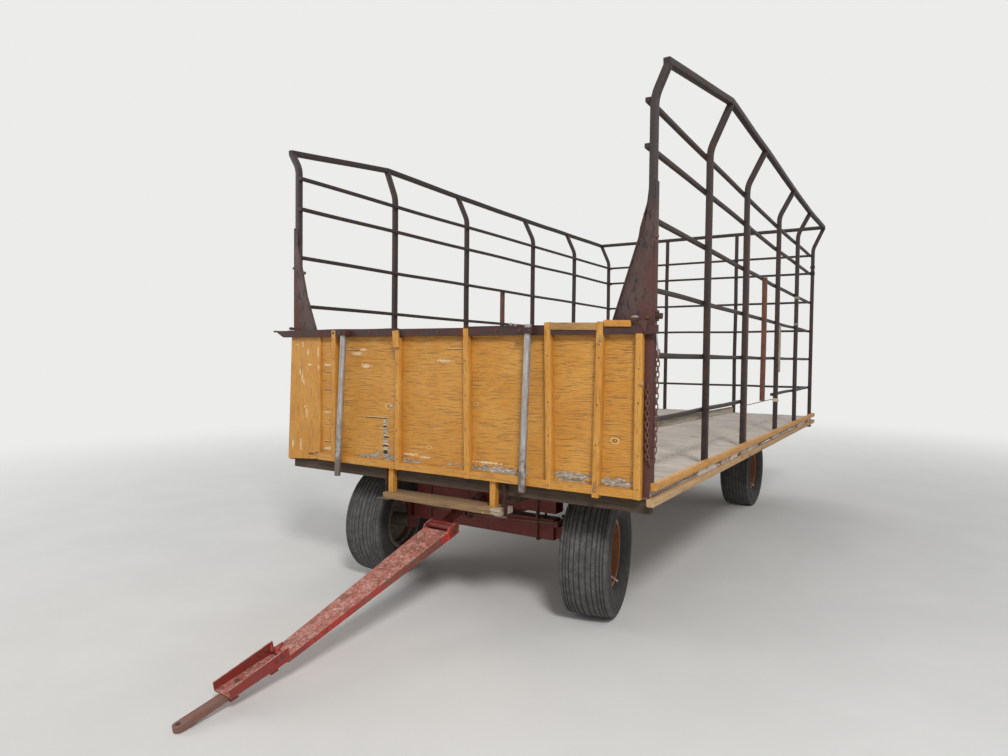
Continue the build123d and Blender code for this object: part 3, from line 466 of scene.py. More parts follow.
def paintedSteel(name, paint, faded, rust, worn, wear=0.5, ownPlace=False):
    # sun-faded paint on plate: rust specks and runs, worn edges, dirt
    look = Look(name, ownPlace)
    cloud = look.noise(0.11, 5.0, 0.65)
    specks = look.noise(0.010, 6.0, 0.78)
    blotch = look.noise(0.045, 6.0, 0.7)
    rusty = look.ease(specks + blotch * 0.55, 0.89 - 0.16 * wear, 0.98 - 0.16 * wear)
    bare = look.noise(0.026, 6.0, 0.75, band=(0.70 - 0.07 * wear, 0.74 - 0.07 * wear))
    bare = look.most(bare, look.edges(0.004) * look.ease(blotch, 0.40, 0.56))
    dirt = look.noise(0.03, 5.0, 0.7, band=(0.52, 0.74))
    colour = look.layers(
        paint, (look.ease(cloud, 0.36, 0.66) * 0.7, faded), (rusty * 0.85, rust), (bare * 0.8, worn),
        (dirt * 0.35, (58, 46, 40)))
    return look.skin(colour, 0.55 + 0.25 * rusty, specks * 0.5 - bare * 0.4 + blotch * 0.3, 0.0009, 0.05)


def cornerLook(name, ownPlace=False):
    # dark brown steel with black flakes; red primer shows low down and towards the post's outer edge
    look = Look(name, ownPlace)
    cloud = look.noise(0.09, 5.0, 0.65, (1, 1, 1.6))
    specks = look.noise(0.008, 6.0, 0.78)
    rise, out = look.part(look.middle, 2), abs(look.part(look.middle, 0))
    red = look.ease(rise * -0.55 + out * 2.4 + cloud * 0.8, 2.20, 2.62)
    primer = look.layers((96, 54, 46), (look.ease(specks, 0.4, 0.62), (76, 48, 43)))
    flakes = look.noise(0.024, 6.0, 0.7, (1, 1, 2.4), band=(0.545, 0.585)) * look.ease(red, 0.9, 0.4)
    colour = look.layers(
        (84, 62, 56), (look.ease(cloud, 0.35, 0.65), (66, 50, 48)), (red, primer), (flakes * 0.85, (34, 32, 34)),
        (look.ease(specks, 0.60, 0.72) * 0.5, (146, 108, 92)),
        (look.ease(rise + cloud * 0.3, 2.44, 2.60) * 0.85, (48, 40, 39)))
    return look.skin(colour, 0.56 + 0.2 * red, specks * 0.5 - flakes * 0.5, 0.0008, 0.1)


def tongueLook(name):
    # the top is faded and dusty with worn grey spots, the sides keep their red under dirt and painted shade
    look = Look(name)
    cloud = look.noise(0.10, 5.0, 0.65)
    blotch = look.noise(0.035, 6.0, 0.72)
    specks = look.noise(0.009, 6.0, 0.8)
    top = look.ease(look.slope(2), 0.35, 0.85)
    sides = look.ease(top, 0.6, 0.2)
    moved, movedMore = (look.arrow("ADD", look.middle, by) for by in ((3.0, 1.0, 5.0), (7.0, 3.0, 1.0)))
    dusty = look.layers(
        (186, 118, 104), (look.ease(blotch, 0.36, 0.62), (156, 90, 78)),
        (look.ease(cloud, 0.50, 0.62) * 0.7, (128, 84, 70)),
        (look.noise(0.05, 6.0, 0.7, where=moved, band=(0.52, 0.60)) * 0.7, (208, 158, 146)),
        (look.noise(0.016, 5.0, 0.7, band=(0.53, 0.62)) * 0.8, (214, 178, 164)),
        (look.noise(0.013, 5.0, 0.7, where=movedMore, band=(0.56, 0.66)) * 0.7, (104, 62, 50)))
    along = look.part(look.middle, 1)
    # a brown-grey band about the middle of the sides: dirt with painted shade
    sideDirtAndShade = look.ease(abs(along + 2.32) - (blotch - 0.5) * 1.2, 0.42, 0.26) * look.ease(blotch, 0.40, 0.54)
    fresh = look.ease(along, -2.30, -2.50) * look.ease(along, -3.02, -2.96) * look.ease(blotch, 0.56, 0.44) * 0.8
    fresh = look.most(look.near((0.081, -1.975, 0.505), 0.075), fresh)
    rusty = look.ease(specks + blotch * 0.5, 0.81, 0.89)
    worn = look.noise(0.014, 6.0, 0.8, band=(0.64, 0.69)) * look.ease(blotch, 0.42, 0.56)
    worn = look.most(worn, look.edges(0.004) * look.ease(blotch, 0.48, 0.60))
    flecks = look.ease(look.cells(0.11) + (specks - 0.5) * 0.20, 0.075, 0.045)
    colour = look.layers(
        (146, 44, 38), (look.ease(cloud, 0.36, 0.66), (128, 54, 46)), (top * 0.9, dusty),
        (sideDirtAndShade * sides * 0.85, (112, 88, 74)), (fresh * sides, (188, 56, 50)), (rusty * 0.7, (98, 58, 44)),
        (worn * 0.8, (190, 176, 166)), (flecks * top * 0.9, (214, 200, 192)))
    return look.skin(colour, 0.58 + 0.25 * rusty, specks * 0.6 + blotch * 0.5 - worn * 0.3, 0.0012, 0.05)


def rimLook(name):
    # faded orange paint outside; grey-brown on the side that faces the wagon, dull paint with painted light reflected
    # from the ground
    look = Look(name)
    cloud = look.noise(0.06, 5.0, 0.7)
    specks = look.noise(0.008, 6.0, 0.8)
    out = abs(look.part(look.middle, 0))
    turnedIn = look.ease(look.slope(0) * look.part(look.middle, 0), 0.0, -0.3)
    # the inner side is painted grey-brown: dull paint, and painted reflected light from the ground
    inner = look.most(look.ease(out + (cloud - 0.5) * 0.04, 0.800, 0.770), turnedIn * look.ease(out, 0.86, 0.83))
    rusty = look.ease(specks + cloud * 0.5, 0.80, 0.90)
    colour = look.layers(
        (140, 84, 50), (look.ease(cloud, 0.34, 0.66), (156, 106, 74)), (inner, (112, 101, 90)),
        (rusty * 0.8, (92, 58, 40)), (look.edges(0.003) * 0.5, (160, 146, 132)))
    return look.skin(colour, 0.5 + 0.3 * rusty, specks * 0.6 + cloud * 0.3, 0.0007, 0.1)


def zincLook(name):
    # dull zinc with long streaks, dark rust near the lower end
    look = Look(name)
    streak = look.noise(0.010, 5.0, 0.65, (1, 1, 12))
    specks = look.noise(0.006, 5.0, 0.8, band=(0.60, 0.72))
    rust = look.ease(look.part(look.middle, 2) + (look.noise(0.05, 5.0, 0.7) - 0.5) * 0.9, 1.02, 0.86)
    colour = look.layers(
        (190, 188, 186), (look.ease(streak, 0.35, 0.65), (150, 147, 144)),
        (look.noise(0.06, 5.0, 0.7, (1, 1, 2), band=(0.45, 0.68)) * 0.6, (150, 132, 120)), (rust * 0.75, (104, 84, 74)),
        (specks * 0.6, (92, 78, 70)))
    return look.skin(colour, 0.44 + 0.3 * rust, streak * 0.5 + specks * 0.4, 0.0004, 0.55)


def tyreLook(name):
    # dusty grey tread where the tone is 1, partly a painted highlight; darker sidewall and groove bottoms, partly
    # painted shade, with fine cracks running round it
    look = Look(name, True)
    dust = look.noise(0.05, 6.0, 0.7, where=look.middle)
    fine = look.noise(0.004, 4.0, 0.7, where=look.middle)
    cracks = look.noise(0.0035, 3.0, 0.7, (9, 1, 1), band=(0.60, 0.68))
    nicks = look.noise(0.010, 5.0, 0.75, (1, 2.6, 1), band=(0.54, 0.62))
    tread = look.layers(
        (98, 96, 94), (look.ease(dust, 0.30, 0.66), (72, 70, 68)), (nicks * 0.55, (46, 45, 44)),
        (cracks * 0.5, (36, 35, 34)))
    colour = look.layers(
        (40, 39, 39), (look.ease(dust, 0.35, 0.68), (60, 57, 55)), (look.ease(fine, 0.5, 0.75) * 0.4, (84, 80, 76)),
        (cracks * 0.6, (24, 23, 23)), (look.tone, tread))
    return look.skin(colour, 0.86, fine * 0.5 - cracks * 0.6 - nicks * look.tone, 0.0011)


def stringLook(name):
    look = Look(name, True)
    twist = look.noise(0.0012, 3.0, 0.6, (6, 1, 1))
    return look.skin(look.layers((230, 220, 196), (look.ease(twist, 0.3, 0.7), (176, 158, 126))), 0.9, twist, 0.0006)


def floorLook(name):
    # pale and matt; well away from the object the camera sees it fade into the backdrop
    look = Look(name)
    colour = look.layers((226, 224, 220), (look.noise(0.8, band=(0.3, 0.7)), (221, 219, 215)))
    matt = look.node("ShaderNodeBsdfPrincipled", {}, {"Base Color": colour, "Roughness": 0.9})
    glow = look.node("ShaderNodeEmission", {}, {"Color": tint(*stage["backdrop"])})
    far = look.ease(look.away((0, 0, 0), (1.0, 0.75, 0.0)), 3.0, 11.0)
    mixed = look.node("ShaderNodeMixShader", {}, {0: far * look.seen(), 1: matt, 2: glow})
    look.node("ShaderNodeOutputMaterial", {}, {"Surface": mixed})
    return look


panelMarks = dict(
    # x, z, half width, half height of places where the paint is gone
    spots=[
        (-0.452, 1.160, 0.022, 0.024), (-0.452, 1.090, 0.024, 0.034), (-0.450, 1.020, 0.028, 0.030),
        (-0.445, 0.965, 0.034, 0.034), (-0.405, 0.925, 0.035, 0.026), (-0.405, 1.262, 0.018, 0.012),
        (0.43, 0.930, 0.15, 0.020), (0.90, 0.948, 0.13, 0.016), (1.165, 0.935, 0.115, 0.024),
    ],
    # x, z, size
    knots=[(1.143, 1.153, 0.021), (0.258, 1.307, 0.013), (-0.093, 1.023, 0.014), (-0.430, 1.262, 0.020)],
    # x, z, half length, half thickness
    splits=[
        (-0.520, 1.180, 0.105, 0.0035), (-0.372, 1.330, 0.030, 0.003), (-0.975, 1.470, 0.045, 0.003),
        (-0.975, 1.350, 0.045, 0.003), (-0.78, 1.62, 0.10, 0.002), (0.10, 1.63, 0.09, 0.002),
        (-0.975, 0.99, 0.050, 0.003), (-0.456, 1.128, 0.018, 0.006), (-0.446, 1.060, 0.022, 0.006),
        (-0.452, 1.002, 0.026, 0.008), (-0.450, 0.962, 0.018, 0.014),
    ],
    # x, z, half width, half height of scrapes down to pale wood
    scrapes=[
        (-0.975, 1.520, 0.040, 0.006), (-0.975, 1.195, 0.040, 0.004), (-0.70, 1.60, 0.050, 0.010),
        (-0.645, 1.625, 0.030, 0.006), (-0.62, 1.520, 0.040, 0.012), (-0.955, 0.945, 0.060, 0.010),
        (-0.24, 0.965, 0.05, 0.008), (-0.12, 0.955, 0.04, 0.006), (0.02, 1.56, 0.05, 0.006), (0.35, 0.965, 0.10, 0.006),
    ],
)
# the same on the end board
boardScrapes = [
    (-1.216, 1.657, 0.006, 0.022), (-1.165, 1.605, 0.006, 0.026), (-1.064, 1.60, 0.005, 0.040),
    (-1.245, 1.47, 0.006, 0.022), (-1.222, 1.43, 0.006, 0.034), (-1.206, 1.40, 0.005, 0.018),
    (-1.176, 1.185, 0.005, 0.035), (-1.320, 0.955, 0.008, 0.030), (-1.238, 0.945, 0.006, 0.040),
    (-1.15, 1.52, 0.018, 0.006), (-1.17, 1.49, 0.005, 0.016), (-1.192, 1.222, 0.012, 0.005),
    (-1.275, 1.66, 0.008, 0.008), (-1.06, 1.50, 0.005, 0.018),
]
# sill colours (light, deep, crack, dirt) darkened as painted shade for the timber under the deck
shadedSillWood = ((86, 70, 54), (58, 46, 36), (26, 20, 16), (66, 54, 42))
railSteel = ((62, 44, 42), (92, 50, 42), (150, 132, 122))
oldIron = ((98, 76, 64), (116, 72, 48), (150, 132, 118))
looks = dict(
    panel=paintedWood("panelPaint", grainAxis=0, wear=0.28, bareLow=0.922, **panelMarks),
    sticks=paintedWood("stickPaint", wear=0.25, relief=0.5),
    blocks=paintedWood("blockPaint", grainAxis=0, wear=0.2, relief=0.5),
    hangers=paintedWood("hangerPaint", grainAxis=2, wear=0.2, relief=0.5),
    endBoard=paintedWood("endBoardPaint", grainAxis=2, wear=0.5, relief=0.6, scrapes=boardScrapes),
    deck=bareWood("deckBoards", (224, 214, 204), (178, 164, 150), (88, 76, 66), (186, 170, 150), checks=0.7),
    tan=bareWood("tanBoards", (206, 172, 128), (168, 126, 84), (82, 58, 40), (186, 158, 124)),
    scrap=bareWood("scrapBoard", (176, 136, 82), (138, 100, 56), (70, 48, 28), (196, 162, 110)),
    # the step's colours are darkened as painted shade under the deck; its pale spot is weathering at the right end
    step=bareWood(
        "stepPlank", (160, 128, 90), (120, 92, 62), (54, 40, 30), (140, 114, 84), pale=[(0.46, 0.70, 0.06, 0.05)]),
    grey=bareWood("greyBoards", (184, 174, 158), (140, 126, 108), (70, 58, 48), (158, 142, 120)),
    sillsY=bareWood("sillTimber", *shadedSillWood, grainAxis=1),
    sillsX=bareWood("endSillTimber", *shadedSillWood, grainAxis=0),
    rack=rustySteel("rackTube", (50, 41, 39), (84, 55, 44), (118, 100, 94), amount=0.42, ownPlace=True),
    railBits=rustySteel("railBitSteel", *railSteel, amount=0.6, ownPlace=True),
    frontRail=rustySteel("railSteel", *railSteel, amount=0.6),
    corner=cornerLook("cornerPaint"),
    cornerBits=cornerLook("cornerBitPaint", True),
    gear=paintedSteel("gearPaint", (112, 34, 30), (122, 52, 44), (82, 48, 32), (70, 56, 50), wear=0.6),
    tongue=tongueLook("tonguePaint"),
    tongueBits=paintedSteel(
        "tongueBitPaint", (164, 44, 38), (158, 84, 74), (110, 66, 44), (150, 138, 130), wear=0.6, ownPlace=True),
    rust=rustySteel("rustyJoint", (92, 60, 50), (124, 76, 54), (146, 118, 106), amount=0.7, ownPlace=True),
    links=rustySteel("chainIron", (112, 80, 72), (110, 66, 52), (178, 150, 138), 0.2, 0.6, True),
    iron=rustySteel("oldIron", *oldIron, 0.4, 0.7, True),
    ironNode=rustySteel("barIron", *oldIron, 0.4, 0.7),
    tipBar=rustySteel("tipIron", (124, 92, 82), (132, 84, 64), (176, 152, 142), 0.15, 0.7),
    rim=rimLook("rimPaint"),
    brass=rustySteel("valveBrass", (206, 176, 158), (178, 142, 118), (226, 208, 196), 0.2, 0.3, True),
    zinc=zincLook("zincPole"),
    tyre=tyreLook("tyreRubber"),
    twine=stringLook("baleTwine"),
)
print("materials made:", len(looks))


# the nodes that stay as they are and only take a look
dressed = {
    "panel": ["panel_plywood"],
    "blocks": ["panel_foot_rails"],
    "endBoard": ["panel_end_board"],
    "hangers": ["step_hangers"],
    "sillsY": ["main_sills", "outer_stringers"],
    "sillsX": ["end_sills"],
    "frontRail": ["panel_steel_rail", "pole_clips", "step_straps"],
    "zinc": ["panel_poles"],
    "gear": [
        "front_axle", "rear_axle", "front_bolster", "rear_bolster", "axle_saddles", "reach_pole", "reach_braces",
        "hound_lugs", "steering_hound", "left_knuckle", "right_knuckle",
    ],
    "tongue": ["tongue", "tip_guides"],
    "ironNode": ["king_bolt", "hinge_pin", "left_tie_rod", "right_tie_rod"],
    "tipBar": ["tongue_tip"],
    "rim": ["front_left_wheel", "front_right_wheel", "rear_left_wheel", "rear_right_wheel"],
}
for look, names in dressed.items():
    for name in names:
        for place in nodes[name].material_slots:
            place.material = looks[look].material


deck = dict(
    boards=29, pitch=0.192241, wide=0.18724, thick=0.038, top=0.912, reach=1.327, overhang=0.040, seed=100,
    # the share of ends that stop short, and how many boards at the front all do
    short=0.5, shortFirst=3,
    # x of each row of nails, how far a pair lies apart, radius, head and sides of a nail
    nailRows=(-1.024, -0.46, 0.46, 1.024), nailPair=(-0.055, 0.055), nail=(0.0055, 0.0011, 7),
)
sides = dict(
    middle=1.353, wide=0.038, rear=5570,
    # piece, look, slot, node, height, front ends on the right and left side, seed, bow
    timbers=[
        ("sideCurbs", "sticks", "curb_paint", "side_curbs", 0.931, (-14, -14), 31, 0.0016),
        ("sideNailers", "tan", "tan_wood", "side_nailers", 0.8545, (-14, -57), 41, 0.0012),
    ],
)


def deckBoards():
    v = deck
    heap, nails = Heap(), Heap()
    rng = np.random.default_rng(v["seed"])
    for i in range(v["boards"]):
        y, z = back(0) + i * v["pitch"] + v["wide"] / 2, v["top"] - v["thick"] / 2
        far = rng.uniform(0.45, 0.95, 2) * (rng.uniform(size=2) > v["short"]) * (i >= v["shortFirst"])
        left, right = v["reach"] + v["overhang"] * far
        wide = v["wide"] - rng.uniform(0, 0.004)
        heap.board((-left, y, z), (right, y, z), upward, wide, v["thick"], v["seed"] + 7 * i, stations=48, bow=0.0010,
                   ragged=0.006)
        for x in v["nailRows"]:
            for shift in v["nailPair"]:
                spot = x + rng.uniform(-0.008, 0.008), y + shift + rng.uniform(-0.012, 0.012), v["top"] + 0.0012
                nails.nail(spot, upward, *v["nail"])
    heap.piece("deckBoards", "deck", "wagon", "deck_wood", ["deck_planks"])
    nails.piece("deckNails", "iron", "wagon", "bare_steel", seams=True)


def sideTimbers():
    v = sides
    for name, look, slot, node, high, fronts, seed, bow in v["timbers"]:
        heap = Heap()
        for side, front in zip((-1, 1), fronts):
            ends = [(side * v["middle"], back(station), high) for station in (front, v["rear"])]
            heap.board(*ends, upward, v["wide"], 0.038, seed + side, stations=90, bow=bow, ragged=0.003, tone=0.25)
        heap.piece(name, look, "wagon", slot, [node])


deckBoards()
sideTimbers()
print("deck laid")


rack = dict(
    deckTop=deck["top"], bend=2.914, knee=0.045, postX=1.315, railX=1.2835, post=0.038, rail=0.025, last=5538,
    # half sizes of the weld at a rail and at the top of a post
    railWeld=(0.005, 0.017, 0.005), topWeld=(0.023, 0.022, 0.005),
    # each side's posts: station, lean of the tip, height of the tip above the deck
    posts={
        1: [(19, 67, 2144), (1046, 123, 2264), (2092, 125, 2243),
            (3392, 118, 2217), (4449, 111, 2214), (5538, 108, 2232)],
        -1: [(19, 67, 2101), (1046, 88, 2224), (2092, 105, 2218),
             (3392, 110, 2217), (4449, 108, 2224), (5538, 108, 2232)],
    },
    heights=(0.348, 0.688, 1.024, 1.367, 1.712, 1.925), railEnd=5557,
    # how far each rail has risen at its front, and the station where that ends
    rises={1: (0, 0.008, 0.016, 0.038, 0.045, 0.062), -1: (0, 0, 0, 0, 0, 0)}, level=3392,
    # the rear: x of its posts, height and half length of its top rail, half length and station of its other rails
    rearX=(-0.473, 0.427), rearTop=3.163, rearReach=1.404, rearRails=(1.271, 5506.5), openBay=(2092, 3392),
    # side, station, foot and top of each short post
    bays=[(-1, 2757, 0.912, 2.2915), (1, 2806, 1.232, 2.2915)],
)
tube, rod = (rack["post"], rack["post"], 0.004), (rack["rail"], rack["rail"], 0.003)


def postPath(side, row):
    # up from the deck, then leaning out above a short bend
    station, lean, height = row
    foot = np.array([side * rack["postX"], back(station), rack["deckTop"]])
    knee = np.array([side * rack["postX"], back(station), rack["bend"]])
    tip = np.array([side * (rack["postX"] + lean / 1000), back(station), rack["deckTop"] + height / 1000 + 0.004])
    t = np.linspace(0, 1, 5)[:, None]
    low, high = knee - (0, 0, rack["knee"]), knee + (tip - knee) * rack["knee"] / np.linalg.norm(tip - knee)
    curve = (1 - t) ** 2 * low + 2 * t * (1 - t) * knee + t ** 2 * high
    return np.concatenate([line(foot, low, 18)[:-1], curve, line(high, tip, 4)[1:]])


def posts(paths, sway, seed, name, look, slot, stands=()):
    # square tubes along the paths, each a little out of true by the sway
    heap = Heap()
    for n, path in enumerate(paths):
        heap.bar(swayed(path, 0.9, seed + n, np.array(sway)), rearward, roundedBox(*tube))
    heap.piece(name, look, "wagon", slot, stands)


def railHeight(side, n, station):
    # height = deck + the rail's own height + its rise * (1 - station / level), no less than level
    return rack["deckTop"] + rack["heights"][n] + rack["rises"][side][n] * np.clip(1 - station / rack["level"], 0, 1)


def rackSide(side, word):
    rows, half, railHalf = rack["posts"][side], rack["post"] / 2, rack["rail"] / 2
    knots = [(side * (rack["postX"] + lean / 1000), back(station), rack["deckTop"] + height / 1000)
             for station, lean, height in rows]
    posts([postPath(side, row) for row in rows[1:]], (0.0012, 0.0018, 0), 301 + side,
          word + "RackPosts", "rack", "rack_steel", [word + "_rack_posts"])
    posts([postPath(side, rows[0])], (0.00024, 0.00036, 0), 311 + side,
          word + "CornerPost", "cornerBits", "corner_steel")
    top = np.array(knots) + (0, 0, half)
    for end, beside in ((0, 1), (-1, -2)):
        # out to the far face of the end post
        top[end] += (top[end] - top[beside]) * half / abs(top[end, 1] - top[beside, 1])
    beam = Heap()
    beam.bar(swayed(through(top, 0.12), 0.8, 320 + side, (0.0015, 0, 0.002)), upward, roundedBox(*tube))
    beam.piece(word + "TopRail", "rack", "wagon", "rack_steel", [word + "_top_rail"])
    rails = Heap()
    for n in range(len(rack["heights"])):
        runs = [(0, rack["railEnd"])]
        if side > 0 and n == 0:
            runs = [(0, rack["openBay"][0] + half * 1000), (rack["openBay"][1] - half * 1000, rack["railEnd"])]
        for start, stop in runs:
            path = line((side * rack["railX"], back(start), 0), (side * rack["railX"], back(stop), 0), 60)
            path[:, 2] = railHeight(side, n, np.linspace(start, stop, 60))
            rails.bar(swayed(path, 1.1, 340 + n + 10 * side, (0.0006, 0, 0.0035)), upward, roundedBox(*rod))
    rails.piece(word + "RackRails", "rack", "wagon", "rack_steel", [word + "_rack_rails"])
    welds = Heap()
    for n, knot in enumerate(knots):
        for m in range(len(rack["heights"])):
            for up in (-1, 1):
                spot = side * (rack["railX"] + railHalf), knot[1], railHeight(side, m, rows[n][0]) + up * railHalf
                welds.blob(spot, rack["railWeld"], 10 * n + m + up)
        welds.blob(knot, rack["topWeld"], n)
    welds.piece(word + "RackWelds", "rust", "wagon", "rack_steel", seams=True)


def rearRack():
    v = rack
    y, top = back(v["last"]), v["rearTop"] - v["post"] / 2
    posts([line((x, y, v["deckTop"]), (x, y, top), 24) for x in v["rearX"]], (0.002, 0, 0), 371,
          "rearRackPosts", "rack", "rack_steel", ["rear_rack_posts"])
    beam = Heap()
    path = line((-v["rearReach"], y, v["rearTop"]), (v["rearReach"], y, v["rearTop"]), 24)
    beam.bar(swayed(path, 0.8, 372, (0, 0, 0.0015)), upward, roundedBox(*tube))
    beam.piece("rearTopRail", "rack", "wagon", "rack_steel", ["rear_top_rail"])
    rails = Heap()
    reach, station = v["rearRails"]
    for n, height in enumerate(v["heights"]):
        z = v["deckTop"] + height
        path = line((-reach, back(station), z), (reach, back(station), z), 30)
        rails.bar(swayed(path, 1.0, 380 + n, (0, 0.0005, 0.003)), upward, roundedBox(*rod))
    rails.piece("rearRackRails", "rack", "wagon", "rack_steel", ["rear_rack_rails"])
    stands = [line((side * v["postX"], back(station), low), (side * v["postX"], back(station), high), 16)
              for side, station, low, high in v["bays"]]
    posts(stands, (0.0012, 0.002, 0), 391, "bayPosts", "rust", "rack_steel", ["bay_posts"])


rackSide(1, "left")
rackSide(-1, "right")
rearRack()
print("rack welded up")


panel = dict(
    face=back(-19), seed=500,
    # x at the top, x at the foot, lower end, upper end, how far its face stands in front of the plywood
    battens=[
        (-0.888, -0.888, 0.866, 1.752, 0.0415), (-0.324, -0.324, 0.866, 1.70, 0.0385),
        (0.205, 0.221, 0.866, 1.752, 0.0415), (0.751, 0.774, 0.866, 1.778, 0.0415),
        (1.065, 1.050, 0.850, 1.776, 0.0425), (1.280, 1.280, 0.866, 1.712, 0.038),
    ],
    # start, end, width, thickness, seed and build of the bits of wood nailed on
    block=((-0.318, back(-69), 1.640), (-0.326, back(-70), 1.746), forward, 0.046, 0.020, 561),
    cap=((1.092, back(-62), 1.768), (1.236, back(-62), 1.764), forward, 0.034, 0.012, 562),
    scrap=((0.772, back(-60), 1.757), (1.046, back(-60), 1.752), forward, 0.040, 0.008, 563),
    # paint and wood that stand off the fifth and sixth battens: x, z, half sizes
    peels=[
        (1.072, 1.690, (0.011, 0.010, 0.018)), (1.062, 1.664, (0.009, 0.009, 0.012)),
        (1.050, 0.915, (0.009, 0.008, 0.024)), (1.050, 0.888, (0.013, 0.011, 0.011)),
        (1.2985, 1.460, (0.012, 0.012, 0.012)),
    ],
)


def battenSticks():
    v = panel
    heap, scrap = Heap(), Heap()
    for n, (topX, lowX, low, high, proud) in enumerate(v["battens"]):
        y = v["face"] - proud / 2
        heap.board((lowX, y, low), (topX, y, high), forward, 0.038, proud, v["seed"] + 9 * n,
                   stations=24, bow=0.0012, ragged=0.002)
    heap.board(*v["block"], stations=8, bow=0)
    heap.board(*v["cap"], stations=8, bow=0.001, ragged=0.004)
    heap.piece("panelBattens", "sticks", "wagon", "panel_paint", ["panel_battens"])
    scrap.board(*v["scrap"], edge=0.003, stations=12, bow=0.001, ragged=0.004)
    for x, z, size in v["peels"]:
        scrap.blob((x, back(-61), z), size, int(z * 100))
    scrap.piece("panelScrap", "scrap", "wagon", "tan_wood")


corners = dict(
    # outline of each plate, from its outer foot up and back down its slanted edge: distance from the middle, height
    plates={
        1: [(1.334, 1.752), (1.334, 2.482), (1.302, 2.47), (1.297, 2.373),
            (1.2628, 2.256), (1.2546, 2.2055), (1.1075, 1.752)],
        -1: [(1.334, 1.752), (1.334, 2.482), (1.302, 2.47), (1.294, 2.37),
             (1.259, 2.224), (1.194, 1.974), (1.1015, 1.752)],
    },
    thick=0.006, front=back(0), lip=0.016,
    # straight strips: start, end, steps, way up of the section, then its width, height and rounding
    strips=[((1.3372, back(17), 1.745), (1.3372, back(17), 2.489), 12, rearward, 0.006, 0.046, 0.0015)],
    angle=[
        ((1.3175, back(-21), 0.872), (1.3175, back(-21), 1.748), 16, rearward, 0.039, 0.004, 0.0012),
        ((1.3365, back(9), 0.914), (1.3365, back(9), 1.748), 16, rearward, 0.005, 0.062, 0.0012),
    ],
    # outline of the small web on the angle, its x and height, the stations of its two faces
    web=[(-0.026, 0.0), (-0.021, -0.056), (-0.013, -0.056), (0.022, 0.0)], webAt=(1.297, 1.778), webFaces=(-58, -62),
    # station and height of the bolts on each side, then x, height, radius and head of those on the plates' front
    sideX=1.340, sideBolts=[(24, 1.786), (24, 1.826), (0, 2.206)],
    bolts=[(-1.2250, 2.165, 0.011, 0.012), (1.306, 1.795, 0.009, 0.008)],
)


def cornerPlates():
    # tall plates in the front plane, a strip round each corner post, a bent lip along the slanted edge
    v = corners
    plates, bolts, angle = Heap(), Heap(), Heap()
    front = v["front"] - v["thick"]
    for side in (-1, 1):
        outline = (np.array(v["plates"][side]) * (side, 1))[::-side]
        plates.bar([[0, v["front"] + 0.001, 0], [0, front, 0]], upward, outline * (-1, 1))
        edge = [(side * x, front - v["lip"] / 2 + 0.004, z) for x, z in v["plates"][side][::-1][:4]]
        plates.bar(through(edge, 0.08), rearward, roundedBox(0.005, v["lip"], 0.0012))
        for start, end, *build in v["strips"]:
            plates.stick((side * start[0], *start[1:]), (side * end[0], *end[1:]), *build)
        for station, z in v["sideBolts"]:
            bolts.bolt((side * v["sideX"], back(station), z), (side, 0, 0), 0.009, 0.014)
    for x, z, radius, high in v["bolts"]:
        bolts.bolt((x, front, z), forward, radius, high)
    for build in v["angle"]:
        angle.stick(*build)
    x, z = v["webAt"]
    angle.bar([(x, back(station), z) for station in v["webFaces"]], upward, np.array(v["web"]))
    plates.piece("cornerPlates", "corner", "wagon", "corner_steel", ["corner_gussets"])
    bolts.piece("cornerBolts", "iron", "wagon", "bare_steel", seams=True)
    angle.piece("cornerAngle", "cornerBits", "wagon", "corner_steel")


railBits = dict(
    # bent strips along the rail: start, end, ripples as axis, height, size and seed, then the thickness
    lips=[
        ((0.19, back(-38), 1.7595), (1.09, back(-38), 1.7600), [(2, 0.0035, 0.35, 512), (1, 0.002, 0.25, 513)], 0.008),
        ((-1.34, back(-38), 1.7575), (-0.34, back(-38), 1.7575), [(2, 0.0025, 0.45, 514)], 0.006),
    ],
    # the outrigger's thin end and how it narrows, then the bar's bolted end and a plate on the rail
    tip=((-1.44, back(-38), 1.7515), (-1.506, back(-38), 1.7545), 6), tipWide=0.036, tipTaper=0.003, tipHigh=0.0125,
    ends=[
        ((1.338, back(22), 1.806), (1.372, back(22), 1.803), 4, rearward, 0.030, 0.026, 0.004),
        ((1.236, back(-50), 1.783), (1.272, back(-52), 1.780), 4, upward, 0.028, 0.016, 0.003),
    ],
    # place, half sizes and seed of the lumps on the rail
    lump=((-1.318, back(-44), 1.772), (0.020, 0.018, 0.012), 515),
    chips=[
        ((1.250, back(-50), 1.797), (0.021, 0.012, 0.008), 516),
        ((0.515, back(-52), 1.772), (0.012, 0.010, 0.010), 517),
        ((0.545, back(-50), 1.766), (0.010, 0.010, 0.010), 518),
    ],
    # x of the bolts, station, height, radius, head, sides; then how far up each batten its screws are
    bolts=[
        ((-0.841, -0.779, 0.607, 0.669), -103, 1.734, 0.008, 0.008, 6),
        ((-1.20, -0.55, 0.0, 0.42, 0.92), -57, 1.736, 0.007, 0.005, 10),
    ],
    screwShares=(0.05, 0.3, 0.55, 0.8), screw=(0.0045, 0.001, 8),
)


